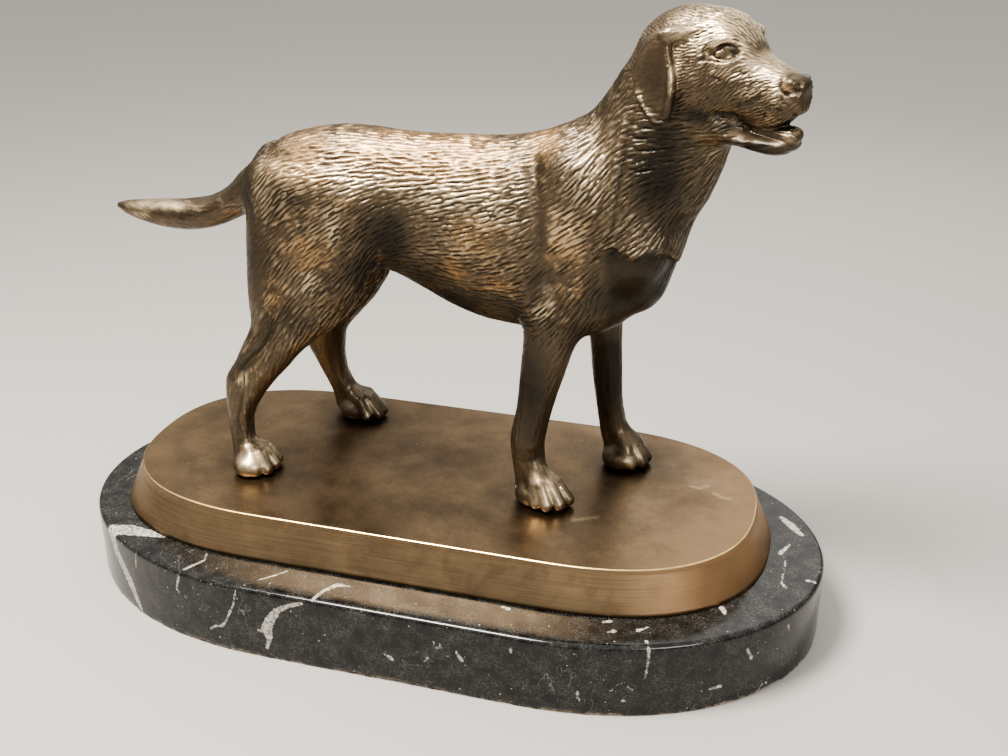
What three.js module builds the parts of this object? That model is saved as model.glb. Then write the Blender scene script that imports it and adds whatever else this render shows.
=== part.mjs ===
// A cast bronze dog standing on a bronze plate, on a plinth of black marble.
// Millimetres, +Z up. The origin is the middle of the plinth's underside, and the dog looks along +X.
// The dog is one casting. Its body is a blend of named forms, worked out as a distance field:
// a field is below zero inside the bronze, and the surface is where it is zero.
import * as THREE from "three";

// Plinth: a marble slab with straight sides and round ends.
const plinthLength = 254;
const plinthWidth = 127;
const plinthHeight = 24.9;
const plinthEndLength = 83.6;
const plinthEndPower = 2.04;
const plinthTopRound = 1.6;
const plinthFootChamfer = 1;

// Plate: bronze, with sloped sides, standing on the plinth a little off its middle.
const plateLength = 224.5;
const plateWidth = 103.9;
const plateHeight = 13.2;
const plateSlope = 5.75;
const plateEndLength = 65.5;
const plateEndPower = 2.4;
const plateEdgeRound = 0.8;
const plateX = -2.9;
const plateY = 3.9;

// Gaps that keep the faces of touching pieces apart.
const plateGap = 0.3;
const soleGap = 0.2;

// Dog: the middle plane of its body, and the level its soles stand on.
const dogY = 11.5;
const dogZ = plinthHeight + plateGap + plateHeight + soleGap;
const outlineSegments = 80;
const gridStep = 1.6;
const gridLow = [-126, -38, -1];
const gridHigh = [114, 38, 162];
const dogTriangles = 7400;

// Head: the point between the eyes, the turn to the dog's right, and the tilt.
const headAt = [87.3, -10, 147.2];
const headYaw = THREE.MathUtils.degToRad(28);
const headRoll = THREE.MathUtils.degToRad(3);

// Small tools for fields.
const clamp = (v, a, b) => Math.min(Math.max(v, a), b);
const lerp = (a, b, t) => a + (b - a) * t;

// Joins two fields with a fillet about k wide.
function join(a, b, k) {
  const h = Math.max(k - Math.abs(a - b), 0) / k;
  return Math.min(a, b) - h * h * k * 0.25;
}

// Cuts field b out of field a with a rounded lip.
const cut = (a, b, k) => -join(-a, b, k);

function ellipsoid(p, c, r) {
  const x = (p[0] - c[0]) / r[0];
  const y = (p[1] - c[1]) / r[1];
  const z = (p[2] - c[2]) / r[2];
  const k0 = Math.hypot(x, y, z);
  const k1 = Math.hypot(x / r[0], y / r[1], z / r[2]);
  return k1 > 1e-9 ? (k0 * (k0 - 1)) / k1 : -Math.min(...r);
}

// A round bar from a to b whose radius goes from ra to rb.
function bar(p, a, b, ra, rb) {
  const d = [b[0] - a[0], b[1] - a[1], b[2] - a[2]];
  const q = [p[0] - a[0], p[1] - a[1], p[2] - a[2]];
  const t = clamp((q[0] * d[0] + q[1] * d[1] + q[2] * d[2]) / (d[0] ** 2 + d[1] ** 2 + d[2] ** 2), 0, 1);
  return Math.hypot(q[0] - t * d[0], q[1] - t * d[1], q[2] - t * d[2]) - lerp(ra, rb, t);
}

// Reads rows [at, value, value...] at a place between them, along a smooth curve through the rows.
function between(rows, at) {
  const last = rows.length - 1;
  if (at <= rows[0][0]) return rows[0].slice(1);
  if (at >= rows[last][0]) return rows[last].slice(1);
  let i = 0;
  while (at > rows[i + 1][0]) i++;
  const span = rows[i + 1][0] - rows[i][0];
  const t = (at - rows[i][0]) / span;
  return rows[i].slice(1).map((a, k) => {
    const b = rows[i + 1][k + 1];
    const slope = (j) => {
      if (j === 0 || j === last) return 0;
      return ((rows[j + 1][k + 1] - rows[j - 1][k + 1]) / (rows[j + 1][0] - rows[j - 1][0])) * span;
    };
    const t2 = t * t;
    const t3 = t2 * t;
    return a * (2 * t3 - 3 * t2 + 1) + slope(i) * (t3 - 2 * t2 + t) + b * (3 * t2 - 2 * t3) + slope(i + 1) * (t3 - t2);
  });
}

// Distance to an oval of half sizes a and b, rounded off past the two ends of the run by "past".
function oval(u, v, a, b, past) {
  const k = Math.hypot(u / a, v / b);
  const slope = Math.hypot(u / (a * a), v / (b * b));
  const d = k > 1e-6 ? ((k - 1) * k) / slope : -Math.min(a, b);
  return past > 0 ? Math.hypot(Math.max(d + Math.min(a, b) * 0.5, 0), past) - Math.min(a, b) * 0.5 : d;
}

// Body rows: x, height of the back, height of the belly, half width.
const bodyRows = [
  [-60, 107.5, 80, 11.8],
  [-56, 109.9, 76, 14],
  [-48, 112.4, 72.5, 16.2],
  [-38, 114.3, 70.5, 17],
  [-28, 114.7, 69.5, 16.6],
  [-18, 114, 67.5, 16],
  [-8, 113.8, 63.2, 16.6],
  [2, 114.1, 58.6, 18],
  [12, 114.3, 55.6, 19.4],
  [22, 115.4, 54.4, 20.2],
  [32, 117.8, 53.4, 20],
  [42, 120, 53.3, 19],
  [50, 119.5, 54.8, 17.4],
  [57, 116, 58.6, 15],
  [62, 110, 66.5, 11.5],
];

// Neck rows: way up the neck, how far its middle lies forward of the line, half depth, half width, side.
const neckFoot = [50, 0, 98];
const neckLean = THREE.MathUtils.degToRad(59);
const neckRows = [
  [4, 1.8, 23.4, 16.6, 0],
  [18, 3.4, 21.6, 15.8, -0.4],
  [29, 2.9, 20.1, 14, -1.2],
  [38, 1.6, 18.7, 12.8, -2.2],
  [46, 0.7, 17.3, 12, -3],
];

// Tail rows: x, height of its middle, half height, half width.
const tailRows = [
  [-122, 80.9, 0.9, 0.9],
  [-118, 80.4, 2.3, 2.4],
  [-113, 80, 3.4, 3.6],
  [-105, 79.7, 4.6, 4.7],
  [-95, 80, 5.3, 5.4],
  [-85, 82, 5.5, 5.7],
  [-78, 85.4, 6.1, 6.1],
  [-72, 89.8, 7.6, 6.9],
  [-68, 91.4, 8.8, 7.6],
  [-62, 92.6, 9.8, 8.6],
];

// Leg rows: height, x of the middle, distance out from the middle plane, half depth, half width.
const hindLegRight = [
  [4, -68, 24, 4, 4.6],
  [12, -69, 22.8, 3.9, 4.4],
  [18, -69.4, 21.8, 4.4, 4.5],
  [25, -68.2, 20.7, 6.5, 4.9],
  [31, -65.9, 19.6, 8.6, 5.4],
  [36, -62.2, 18.6, 9.4, 6],
  [42, -58.2, 17.2, 10.6, 6.8],
  [48, -53.4, 15.6, 12.8, 7.6],
  [54, -49.8, 14, 16.2, 8.4],
  [66, -46.8, 11.2, 20.2, 9.2],
  [82, -45.5, 9.2, 20.5, 9.4],
  [98, -46, 8, 16, 8.6],
];
const hindLegLeft = [
  [4, -50.6, 24.4, 4.6, 4.6],
  [10, -51.6, 24, 4.7, 4.5],
  [17, -54.2, 23, 4.9, 4.5],
  [24, -55.9, 22, 6.2, 4.7],
  [30, -56.8, 21, 7.8, 5.2],
  [36, -56.4, 19.8, 9.2, 5.8],
  [44, -52.4, 17.8, 12, 6.8],
  [52, -48.6, 15.6, 15, 7.8],
  [62, -46.4, 12.8, 18.4, 8.8],
  [82, -45.5, 9.2, 20, 9.4],
  [98, -46, 8, 16, 8.6],
];
const foreLegRight = [
  [4, 31.6, 16.6, 5.4, 5],
  [12, 30.6, 16.3, 5.3, 4.8],
  [20, 30, 16, 5.6, 5],
  [32, 32.1, 15.4, 5.8, 5.1],
  [44, 34.3, 14.8, 7.1, 5.7],
  [52, 35.8, 14.3, 8, 6.3],
  [60, 37.6, 13.8, 9.4, 7],
  [70, 40, 12.8, 11, 7.4],
];
const foreLegLeft = [
  [4, 53.6, 16.6, 4.9, 4.8],
  [10, 52.2, 16.4, 4.8, 4.6],
  [22, 50.1, 16, 4.5, 4.7],
  [33, 49, 15.6, 5, 4.8],
  [46, 48.2, 15, 5.4, 5.4],
  [56, 46.6, 14.2, 7, 6.2],
  [66, 44.6, 13, 9.6, 7],
];

// The coat ends in a ledge over the smooth front of the chest, shallower in the middle, and a furrow runs down
// behind the shoulder.
const ledge = { height: 81.6, rise: 5.2, depth: 1.4, middleShare: 0.4, from: 50, low: 64 };
const furrow = { points: [[30, 110], [35.5, 83], [38.5, 71]], depth: 1.3, width: 2.4 };

// Paws, in plan: where the leg comes down and the height of the instep there, the middle and half sizes of
// the pad, the height of the knuckles, and the tips of the toes.
const paws = [
  {
    instep: [-69, -23, 8],
    pad: [-64, -27.4, 6.4, 7.2],
    knuckles: 6,
    toes: [[-61, -31.4], [-57.8, -29.2], [-57, -24.8], [-58, -20.6]],
  },
  {
    instep: [-51.6, 24, 9],
    pad: [-45.8, 22.4, 6.6, 6.8],
    knuckles: 7,
    toes: [[-40.4, 17.6], [-37.2, 20.2], [-36.8, 24.2], [-39.4, 27.6]],
  },
  {
    instep: [30.6, -16.4, 11.5],
    pad: [33.8, -19.6, 6.8, 6.4],
    knuckles: 7,
    toes: [[35.4, -25], [39, -25.8], [42.6, -23.8], [44.8, -20]],
  },
  {
    instep: [52.4, 16.2, 11.5],
    pad: [55.8, 12.6, 6.8, 7],
    knuckles: 7,
    toes: [[59.6, 8.8], [63, 11.8], [63.6, 15.8], [62.2, 19.4]],
  },
];
const padHeight = 2.9;
const padHalfHeight = 4.6;
const toeRadius = 2.3;
const toeTipHeight = 2.2;
const knuckleShare = 0.68;
const instepShare = 0.2;

function leg(p, rows, side) {
  const [x, y, depth, width] = between(rows, p[2]);
  const past = Math.max(rows[0][0] - p[2], p[2] - rows[rows.length - 1][0]);
  return oval(p[0] - x, p[1] - side * y, depth, width, past);
}

// A paw: a pad, and four toes that run from the instep over a knuckle to the tip.
function paw(p, { instep: [lx, ly, high], pad: [px, py, rx, ry], knuckles, toes }) {
  let d = ellipsoid(p, [px, py, padHeight], [rx, ry, padHalfHeight]);
  for (const [tx, ty] of toes) {
    const start = [lerp(lx, tx, instepShare), lerp(ly, ty, instepShare), high];
    const knuckle = [lerp(lx, tx, knuckleShare), lerp(ly, ty, knuckleShare), knuckles];
    d = join(d, bar(p, start, knuckle, toeRadius, toeRadius), 1);
    d = join(d, bar(p, knuckle, [tx, ty, toeTipHeight], toeRadius, toeRadius - 0.2), 0.7);
  }
  return d;
}

// Turns a point of the dog into the head's own frame: forward, to the dog's left, up.
function toHead(p) {
  const d = [p[0] - headAt[0], p[1] - headAt[1], p[2] - headAt[2]];
  const forward = d[0] * Math.cos(headYaw) - d[1] * Math.sin(headYaw);
  const left = d[0] * Math.sin(headYaw) + d[1] * Math.cos(headYaw);
  return [
    forward,
    left * Math.cos(headRoll) + d[2] * Math.sin(headRoll),
    d[2] * Math.cos(headRoll) - left * Math.sin(headRoll),
  ];
}

// Muzzle rows: way forward, height of the bridge, height of the lip, half width.
const muzzleRows = [
  [1, 3.8, -20.4, 9],
  [6, 2, -21.2, 8.4],
  [9, -0.9, -21.4, 7.8],
  [13, -2.9, -21.1, 7.2],
  [16, -4.1, -19.8, 6.7],
  [18.5, -5.1, -17.6, 5.8],
  [20, -6.2, -16, 4.4],
];

// Jaw rows: way forward, top, bottom, half width.
const jawRows = [
  [-4, -16, -26.4, 8.8],
  [6, -21.6, -27.4, 6.8],
  [13, -22.4, -28.1, 5.6],
  [17.5, -22.4, -27.3, 4.6],
  [19.4, -22.6, -26, 3.2],
];

// A form carried along an axis: rows hold way, top, bottom and half width.
function beam(way, up, side, rows) {
  const [top, bottom, width] = between(rows, way);
  const past = Math.max(rows[0][0] - way, way - rows[rows.length - 1][0]);
  return oval(up - (top + bottom) / 2, side, (top - bottom) / 2, width, past);
}

function head(p) {
  const [f, left, u] = toHead(p);
  const side = Math.abs(left);
  const h = [f, side, u];
  let d = ellipsoid(h, [-13.2, 0, -3], [17.6, 12.4, 12.4]);
  d = join(d, ellipsoid(h, [-4.4, 0, 1], [8, 8.8, 7.4]), 4);
  d = join(d, ellipsoid(h, [-8, 6.4, -9.6], [10.5, 6, 9.6]), 5);
  d = join(d, ellipsoid(h, [-0.4, 6, 2.7], [3.4, 2.6, 2.2]), 2);
  d = join(d, beam(f, u, left, muzzleRows), 4);
  d = join(d, ellipsoid(h, [19.7, 0, -8.2], [3, 3.8, 3.2]), 0.8);
  const jaw = join(beam(f, u, left, jawRows), ellipsoid(h, [-4, 0, -20], [9, 8, 7]), 4);
  const tongue = bar([f, left * 0.66, u], [8, 0, -21.4], [19, 0, -21.9], 2, 2.3);
  d = join(d, join(jaw, tongue, 0.8), 1);
  d = cut(d, ellipsoid(h, [0.4, 10.5, -0.5], [4.8, 2.4, 2.3]), 1.2);
  return join(d, ellipsoid(h, [-0.8, 7.3, -0.7], [2.2, 1.9, 1.8]), 0.6);
}

// Ear rows, from the tip up: height, way forward of the middle, half depth.
const earRows = [
  [-21.2, -14.4, 1.2],
  [-19.4, -14.9, 3],
  [-15.3, -16.2, 5.8],
  [-11.4, -17.1, 6.9],
  [-7, -17.5, 7],
  [-3.2, -17.8, 5.8],
  [1.2, -17, 3.7],
  [4.2, -15.1, 2.6],
  [5.6, -13.8, 1.9],
];
const earThickness = 3.6;

function ear(p) {
  const [f, left, u] = toHead(p);
  const [middle, depth] = between(earRows, u);
  const past = Math.max(earRows[0][0] - u, u - earRows[earRows.length - 1][0]);
  const rim = earThickness / 2;
  const off = Math.abs(Math.abs(left) - (13.8 - 0.12 * u));
  const across = Math.max(Math.abs(f - middle) - depth + rim, 0);
  const flap = Math.hypot(across, Math.max(past + rim, 0), off) - rim;
  const sided = [f, Math.abs(left), u];
  const root = bar(sided, [-22, 11, -0.8], [-12, 10.6, 3.6], 2.6, 2.1);
  const fold = bar(sided, [-12, 10.6, 3.6], [-4.6, 6.8, 4.8], 2.1, 1.3);
  return join(flap, join(root, fold, 1), 2.5);
}

// Muscles that show on both sides: from, to, radius at each end, how softly they blend.
const muscles = [
  [[48, 9, 66], [60, 5, 72], 9, 8.4, 5],
  [[60, 9.6, 84], [42, 9.4, 108], 9.6, 8, 6],
  [[36, 11.6, 66], [60, 9, 84], 8.6, 9, 6],
  [[-30, 9, 92], [-36, 12.4, 66], 9, 7.4, 7],
  [[-58, 7.4, 92], [-58, 12, 58], 8.6, 7, 6],
];

function body(p) {
  const [x, y, z] = p;
  const side = [x, Math.abs(y), z];
  let d = beam(x, z, y, bodyRows);
  d = join(d, ellipsoid(p, [56.8, 0, 85.5], [16.9, 14.8, 21]), 6);
  for (const [from, to, ra, rb, k] of muscles) d = join(d, bar(side, from, to, ra, rb), k);
  const dx = x - neckFoot[0];
  const dz = z - neckFoot[2];
  const way = dx * Math.cos(neckLean) + dz * Math.sin(neckLean);
  const out = dx * Math.sin(neckLean) - dz * Math.cos(neckLean);
  const [shift, depth, width, bend] = between(neckRows, way);
  const past = Math.max(neckRows[0][0] - way, way - neckRows[neckRows.length - 1][0]);
  d = join(d, oval(out - shift, y - bend, depth, width, past), 7);
  const [tz, th, tw] = between(tailRows, x);
  const tail = oval(z - tz, y, th, tw, Math.max(tailRows[0][0] - x, x - tailRows[tailRows.length - 1][0]));
  d = join(d, tail, 5);
  d = join(d, leg(p, hindLegRight, -1), 5);
  d = join(d, leg(p, hindLegLeft, 1), 5);
  d = join(d, leg(p, foreLegRight, -1), 4);
  d = join(d, leg(p, foreLegLeft, 1), 4);
  return d;
}

const smoothStep = (a, b, v) => {
  const t = clamp((v - a) / (b - a), 0, 1);
  return t * t * (3 - 2 * t);
};

// How much the surface drops below the ledge and in the furrow.
function hollow([x, y, z]) {
  const edge = ledge.height + (ledge.rise * Math.abs(y)) / 16;
  const under = smoothStep(edge, edge - 2, z) * smoothStep(ledge.low - 14, ledge.low + 14, z);
  const share = lerp(ledge.middleShare, 1, smoothStep(1, 9, Math.abs(y)));
  const drop = ledge.depth * share * under * smoothStep(ledge.from - 3, ledge.from + 5, x);
  let near = Infinity;
  for (let i = 0; i < furrow.points.length - 1; i++) {
    const [a, b] = [furrow.points[i], furrow.points[i + 1]];
    near = Math.min(near, bar([x, 0, z], [a[0], 0, a[1]], [b[0], 0, b[1]], 0, 0));
  }
  return drop + furrow.depth * Math.exp(-((near / furrow.width) ** 2)) * smoothStep(8, 14, Math.abs(y));
}

function dogField(p) {
  let d = body(p) + hollow(p);
  if (p[2] < 20) for (const spec of paws) d = join(d, paw(p, spec), 1.6);
  if (p[0] > 40 && p[2] > 95) d = join(join(d, head(p), 5), ear(p), 0.8);
  return Math.max(d, -p[2]);
}

// Turns a field into triangles: each grid cube is six tetrahedra round its long diagonal, and each
// tetrahedron that the surface crosses gives one or two triangles. Corners on one grid edge are shared.
function polygonise(field, low, high, step) {
  const count = low.map((a, i) => Math.ceil((high[i] - a) / step) + 1);
  const [nx, ny, nz] = count;
  const place = (i, j, k) => [low[0] + i * step, low[1] + j * step, low[2] + k * step];
  const value = new Float64Array(nx * ny * nz);
  const index = (i, j, k) => i + nx * (j + ny * k);
  for (let k = 0; k < nz; k++)
    for (let j = 0; j < ny; j++)
      for (let i = 0; i < nx; i++) {
        const v = field(place(i, j, k));
        value[index(i, j, k)] = Math.abs(v) < 1e-3 ? 1e-3 : v;
      }
  const offsets = [0, 1, 2, 3, 4, 5, 6, 7].map((b) => [b & 1, (b >> 1) & 1, b >> 2]);
  const tetrahedra = [
    [0, 1, 3, 7],
    [0, 3, 2, 7],
    [0, 2, 6, 7],
    [0, 6, 4, 7],
    [0, 4, 5, 7],
    [0, 5, 1, 7],
  ];
  const points = [];
  const faces = [];
  const shared = new Map();
  const total = nx * ny * nz;
  const corner = (a, b) => {
    const key = Math.min(a.id, b.id) * total + Math.max(a.id, b.id);
    if (!shared.has(key)) {
      const t = clamp(a.v / (a.v - b.v), 0.04, 0.96);
      shared.set(key, points.length);
      points.push(a.p.map((v, i) => lerp(v, b.p[i], t)));
    }
    return shared.get(key);
  };
  const addFace = (a, b, c, inside, outside) => {
    const [pa, pb, pc] = [points[a], points[b], points[c]];
    const u = pb.map((v, i) => v - pa[i]);
    const w = pc.map((v, i) => v - pa[i]);
    const n = [u[1] * w[2] - u[2] * w[1], u[2] * w[0] - u[0] * w[2], u[0] * w[1] - u[1] * w[0]];
    const way = n.reduce((sum, v, i) => sum + v * (outside.p[i] - inside.p[i]), 0);
    faces.push(way > 0 ? [a, b, c] : [a, c, b]);
  };
  for (let k = 0; k < nz - 1; k++)
    for (let j = 0; j < ny - 1; j++)
      for (let i = 0; i < nx - 1; i++) {
        const cube = offsets.map(([a, b, c]) => {
          const id = index(i + a, j + b, k + c);
          return { id, v: value[id], p: null, at: [i + a, j + b, k + c] };
        });
        const inCount = cube.filter((c) => c.v < 0).length;
        if (inCount === 0 || inCount === 8) continue;
        for (const c of cube) c.p = place(...c.at);
        for (const tetrahedron of tetrahedra) {
          const corners = tetrahedron.map((b) => cube[b]);
          const inside = corners.filter((c) => c.v < 0);
          const outside = corners.filter((c) => c.v >= 0);
          if (inside.length === 1) {
            const [a, b, c] = outside.map((o) => corner(inside[0], o));
            addFace(a, b, c, inside[0], outside[0]);
          } else if (inside.length === 3) {
            const [a, b, c] = inside.map((o) => corner(o, outside[0]));
            addFace(a, b, c, inside[0], outside[0]);
          } else if (inside.length === 2) {
            const a = corner(inside[0], outside[0]);
            const b = corner(inside[0], outside[1]);
            const c = corner(inside[1], outside[1]);
            const d = corner(inside[1], outside[0]);
            addFace(a, b, c, inside[0], outside[0]);
            addFace(a, c, d, inside[0], outside[0]);
          }
        }
      }
  return { points, faces };
}

// Thins a closed mesh to about "target" faces by closing the edge that moves the surface least, again and
// again. Each point carries the sum of the squared distances to the planes of its faces.
function thin({ points, faces }, target) {
  const cross = (u, w) => [u[1] * w[2] - u[2] * w[1], u[2] * w[0] - u[0] * w[2], u[0] * w[1] - u[1] * w[0]];
  const minus = (a, b) => [a[0] - b[0], a[1] - b[1], a[2] - b[2]];
  const dot = (a, b) => a[0] * b[0] + a[1] * b[1] + a[2] * b[2];
  const around = points.map(() => new Set());
  faces.forEach((face, i) => face.forEach((v) => around[v].add(i)));
  const quadric = points.map(() => new Float64Array(10));
  for (const [a, b, c] of faces) {
    const n = cross(minus(points[b], points[a]), minus(points[c], points[a]));
    const size = Math.hypot(...n);
    if (size < 1e-12) continue;
    const m = n.map((v) => v / size);
    const e = -dot(m, points[a]);
    const plane = [...m, e];
    let s = 0;
    for (let i = 0; i < 4; i++)
      for (let j = i; j < 4; j++) {
        for (const v of [a, b, c]) quadric[v][s] += plane[i] * plane[j] * size;
        s++;
      }
  }
  const error = (q, p) =>
    q[0] * p[0] * p[0] + 2 * q[1] * p[0] * p[1] + 2 * q[2] * p[0] * p[2] + 2 * q[3] * p[0] +
    q[4] * p[1] * p[1] + 2 * q[5] * p[1] * p[2] + 2 * q[6] * p[1] +
    q[7] * p[2] * p[2] + 2 * q[8] * p[2] + q[9];
  // The best point solves a 3 by 3 system; where that is unsure, the better of the ends and the middle.
  const best = (q, a, b) => {
    const [c00, c01, c02, , c11, c12, , c22] = q;
    const r = [-q[3], -q[6], -q[8]];
    const m0 = [c00, c01, c02];
    const m1 = [c01, c11, c12];
    const m2 = [c02, c12, c22];
    const det = dot(m0, cross(m1, m2));
    const middle = a.map((v, i) => (v + b[i]) / 2);
    const reach = Math.hypot(...minus(a, b));
    if (Math.abs(det) > 1e-7 * (c00 + c11 + c22) ** 3) {
      const x = cross(m1, m2).map((v) => (v * r[0]) / det);
      const y = cross(m2, m0).map((v) => (v * r[1]) / det);
      const z = cross(m0, m1).map((v) => (v * r[2]) / det);
      const p = [x[0] + y[0] + z[0], x[1] + y[1] + z[1], x[2] + y[2] + z[2]];
      if (Math.hypot(...minus(p, middle)) < reach) return p;
    }
    return [a, b, middle].sort((s, t) => error(q, s) - error(q, t))[0];
  };
  const version = new Int32Array(points.length);
  const heap = [];
  const push = (item) => {
    heap.push(item);
    let i = heap.length - 1;
    while (i > 0) {
      const up = (i - 1) >> 1;
      if (heap[up].cost <= heap[i].cost) break;
      [heap[up], heap[i]] = [heap[i], heap[up]];
      i = up;
    }
  };
  const pop = () => {
    const top = heap[0];
    const end = heap.pop();
    if (heap.length) {
      heap[0] = end;
      let i = 0;
      for (;;) {
        let small = i;
        for (const c of [2 * i + 1, 2 * i + 2]) if (c < heap.length && heap[c].cost < heap[small].cost) small = c;
        if (small === i) break;
        [heap[small], heap[i]] = [heap[i], heap[small]];
        i = small;
      }
    }
    return top;
  };
  const neighbours = (v) => {
    const found = new Set();
    for (const i of around[v]) for (const w of faces[i]) if (w !== v) found.add(w);
    return found;
  };
  const offer = (a, b) => {
    const q = quadric[a].map((v, i) => v + quadric[b][i]);
    const p = best(q, points[a], points[b]);
    const cost = Math.max(error(q, p), 0) + 1e-4 * Math.hypot(...minus(points[a], points[b])) ** 2;
    push({ a, b, p, cost, va: version[a], vb: version[b] });
  };
  points.forEach((_, a) => {
    for (const b of neighbours(a)) if (a < b) offer(a, b);
  });
  // Whether a face of v would turn over, or become a sliver, when v moves to p.
  const spoils = (v, other, p) => {
    for (const i of around[v]) {
      const face = faces[i];
      if (face.includes(other)) continue;
      const [a, b, c] = face.map((w) => points[w]);
      const [na, nb, nc] = face.map((w) => (w === v ? p : points[w]));
      const before = cross(minus(b, a), minus(c, a));
      const after = cross(minus(nb, na), minus(nc, na));
      const size = Math.hypot(...after);
      if (dot(before, after) < 0.3 * Math.hypot(...before) * size) return true;
      const longest = Math.max(...[minus(nb, na), minus(nc, nb), minus(na, nc)].map((e) => dot(e, e)));
      if (size < 0.04 * longest) return true;
    }
    return false;
  };
  let alive = faces.length;
  while (alive > target && heap.length) {
    const { a, b, p, va, vb } = pop();
    if (version[a] !== va || version[b] !== vb || !around[a].size || !around[b].size) continue;
    const nearB = neighbours(b);
    const common = [...neighbours(a)].filter((v) => nearB.has(v));
    if (common.length !== 2 || spoils(a, b, p) || spoils(b, a, p)) continue;
    for (const i of [...around[b]]) {
      if (faces[i].includes(a)) {
        for (const v of faces[i]) around[v].delete(i);
        alive--;
      } else {
        faces[i] = faces[i].map((v) => (v === b ? a : v));
        around[a].add(i);
      }
    }
    around[b].clear();
    points[a] = p;
    quadric[a] = quadric[a].map((v, i) => v + quadric[b][i]);
    version[a]++;
    version[b]++;
    for (const v of neighbours(a)) offer(Math.min(a, v), Math.max(a, v));
  }
  const kept = faces.filter((face, i) => around[face[0]].has(i));
  return { points, faces: kept };
}

function geometryOf({ points, faces }) {
  const geometry = new THREE.BufferGeometry();
  geometry.setAttribute("position", new THREE.Float32BufferAttribute(faces.flat().flatMap((v) => points[v]), 3));
  geometry.computeVertexNormals();
  return geometry;
}

// The outline of a slab: straight sides, and round ends "end" long whose curve follows the power.
function outline(length, width, end, power, segments) {
  const points = [];
  for (let i = 0; i < segments; i++) {
    const a = (2 * Math.PI * (i + 0.5)) / segments;
    const c = Math.cos(a);
    const s = Math.sin(a);
    const x = Math.sign(c) * (length / 2 - end + end * Math.abs(c) ** (2 / power));
    points.push([x, (Math.sign(s) * width * Math.abs(s) ** (2 / power)) / 2]);
  }
  return points;
}

// A slab from rings [height, inset], each an outline that lies "inset" inside the first one.
function slab(length, width, end, power, rings) {
  const points = [];
  const faces = [];
  const n = outlineSegments;
  for (const [z, inset] of rings) {
    const ring = outline(length - 2 * inset, width - 2 * inset, end - inset, power, n);
    for (const [x, y] of ring) points.push([x, y, z]);
  }
  for (let r = 0; r < rings.length - 1; r++)
    for (let i = 0; i < n; i++) {
      const a = r * n + i;
      const b = r * n + ((i + 1) % n);
      faces.push([a, b, b + n], [a, b + n, a + n]);
    }
  const foot = points.length;
  points.push([0, 0, rings[0][0]], [0, 0, rings[rings.length - 1][0]]);
  const lastRing = (rings.length - 1) * n;
  for (let i = 0; i < n; i++) {
    const j = (i + 1) % n;
    faces.push([foot, j, i], [foot + 1, lastRing + i, lastRing + j]);
  }
  return geometryOf({ points, faces });
}

// Ring rows of a rounded top edge of radius r, under height z and "inset" inside the outline.
function roundEdge(z, inset, r, steps) {
  const rows = [];
  for (let i = 0; i <= steps; i++) {
    const a = (Math.PI / 2) * (i / steps);
    rows.push([z - r + r * Math.sin(a), inset + r - r * Math.cos(a)]);
  }
  return rows;
}

const marble = new THREE.MeshStandardMaterial({ color: 0x17181a, roughness: 0.18, metalness: 0 });
const plateBronze = new THREE.MeshStandardMaterial({ color: 0x5a3c22, roughness: 0.4, metalness: 1 });
const dogBronze = new THREE.MeshStandardMaterial({ color: 0x4a3826, roughness: 0.42, metalness: 1 });

const sculpture = new THREE.Group();

const plinthRings = [
  [0, plinthFootChamfer],
  [plinthFootChamfer, 0],
  ...roundEdge(plinthHeight, 0, plinthTopRound, 3),
];
const plinth = new THREE.Mesh(
  slab(plinthLength, plinthWidth, plinthEndLength, plinthEndPower, plinthRings),
  marble,
);
plinth.name = "marble_plinth";
sculpture.add(plinth);

const plateRings = [[0, 0], ...roundEdge(plateHeight, plateSlope, plateEdgeRound, 2)];
const plate = new THREE.Mesh(
  slab(plateLength, plateWidth, plateEndLength, plateEndPower, plateRings),
  plateBronze,
);
plate.name = "bronze_plate";
plate.position.set(plateX, plateY, plinthHeight + plateGap);
sculpture.add(plate);

const dogMesh = thin(polygonise(dogField, gridLow, gridHigh, gridStep), dogTriangles);
const dog = new THREE.Mesh(geometryOf(dogMesh), dogBronze);
dog.name = "bronze_dog";
dog.position.set(0, dogY, dogZ);
sculpture.add(dog);

export default sculpture;
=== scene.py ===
# A cast bronze dog on a bronze plate and a plinth of black marble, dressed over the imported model.
import math
import bpy
import bmesh
import numpy as np
from mathutils import Matrix, Vector


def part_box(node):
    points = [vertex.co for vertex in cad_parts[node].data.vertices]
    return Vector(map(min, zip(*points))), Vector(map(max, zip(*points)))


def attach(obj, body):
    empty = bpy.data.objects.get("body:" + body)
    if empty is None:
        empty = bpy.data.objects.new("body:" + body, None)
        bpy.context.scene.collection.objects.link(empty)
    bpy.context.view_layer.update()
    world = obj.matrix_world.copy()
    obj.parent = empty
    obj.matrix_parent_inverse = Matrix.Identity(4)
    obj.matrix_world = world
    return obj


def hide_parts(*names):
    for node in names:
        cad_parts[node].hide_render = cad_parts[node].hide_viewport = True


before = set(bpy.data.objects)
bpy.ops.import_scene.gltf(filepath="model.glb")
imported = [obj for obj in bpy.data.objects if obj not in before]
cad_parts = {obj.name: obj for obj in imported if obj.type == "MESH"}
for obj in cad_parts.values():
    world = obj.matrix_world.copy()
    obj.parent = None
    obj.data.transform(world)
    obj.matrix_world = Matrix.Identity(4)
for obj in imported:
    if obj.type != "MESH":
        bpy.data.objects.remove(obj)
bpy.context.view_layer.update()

mm = 0.001
scene = bpy.context.scene

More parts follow.
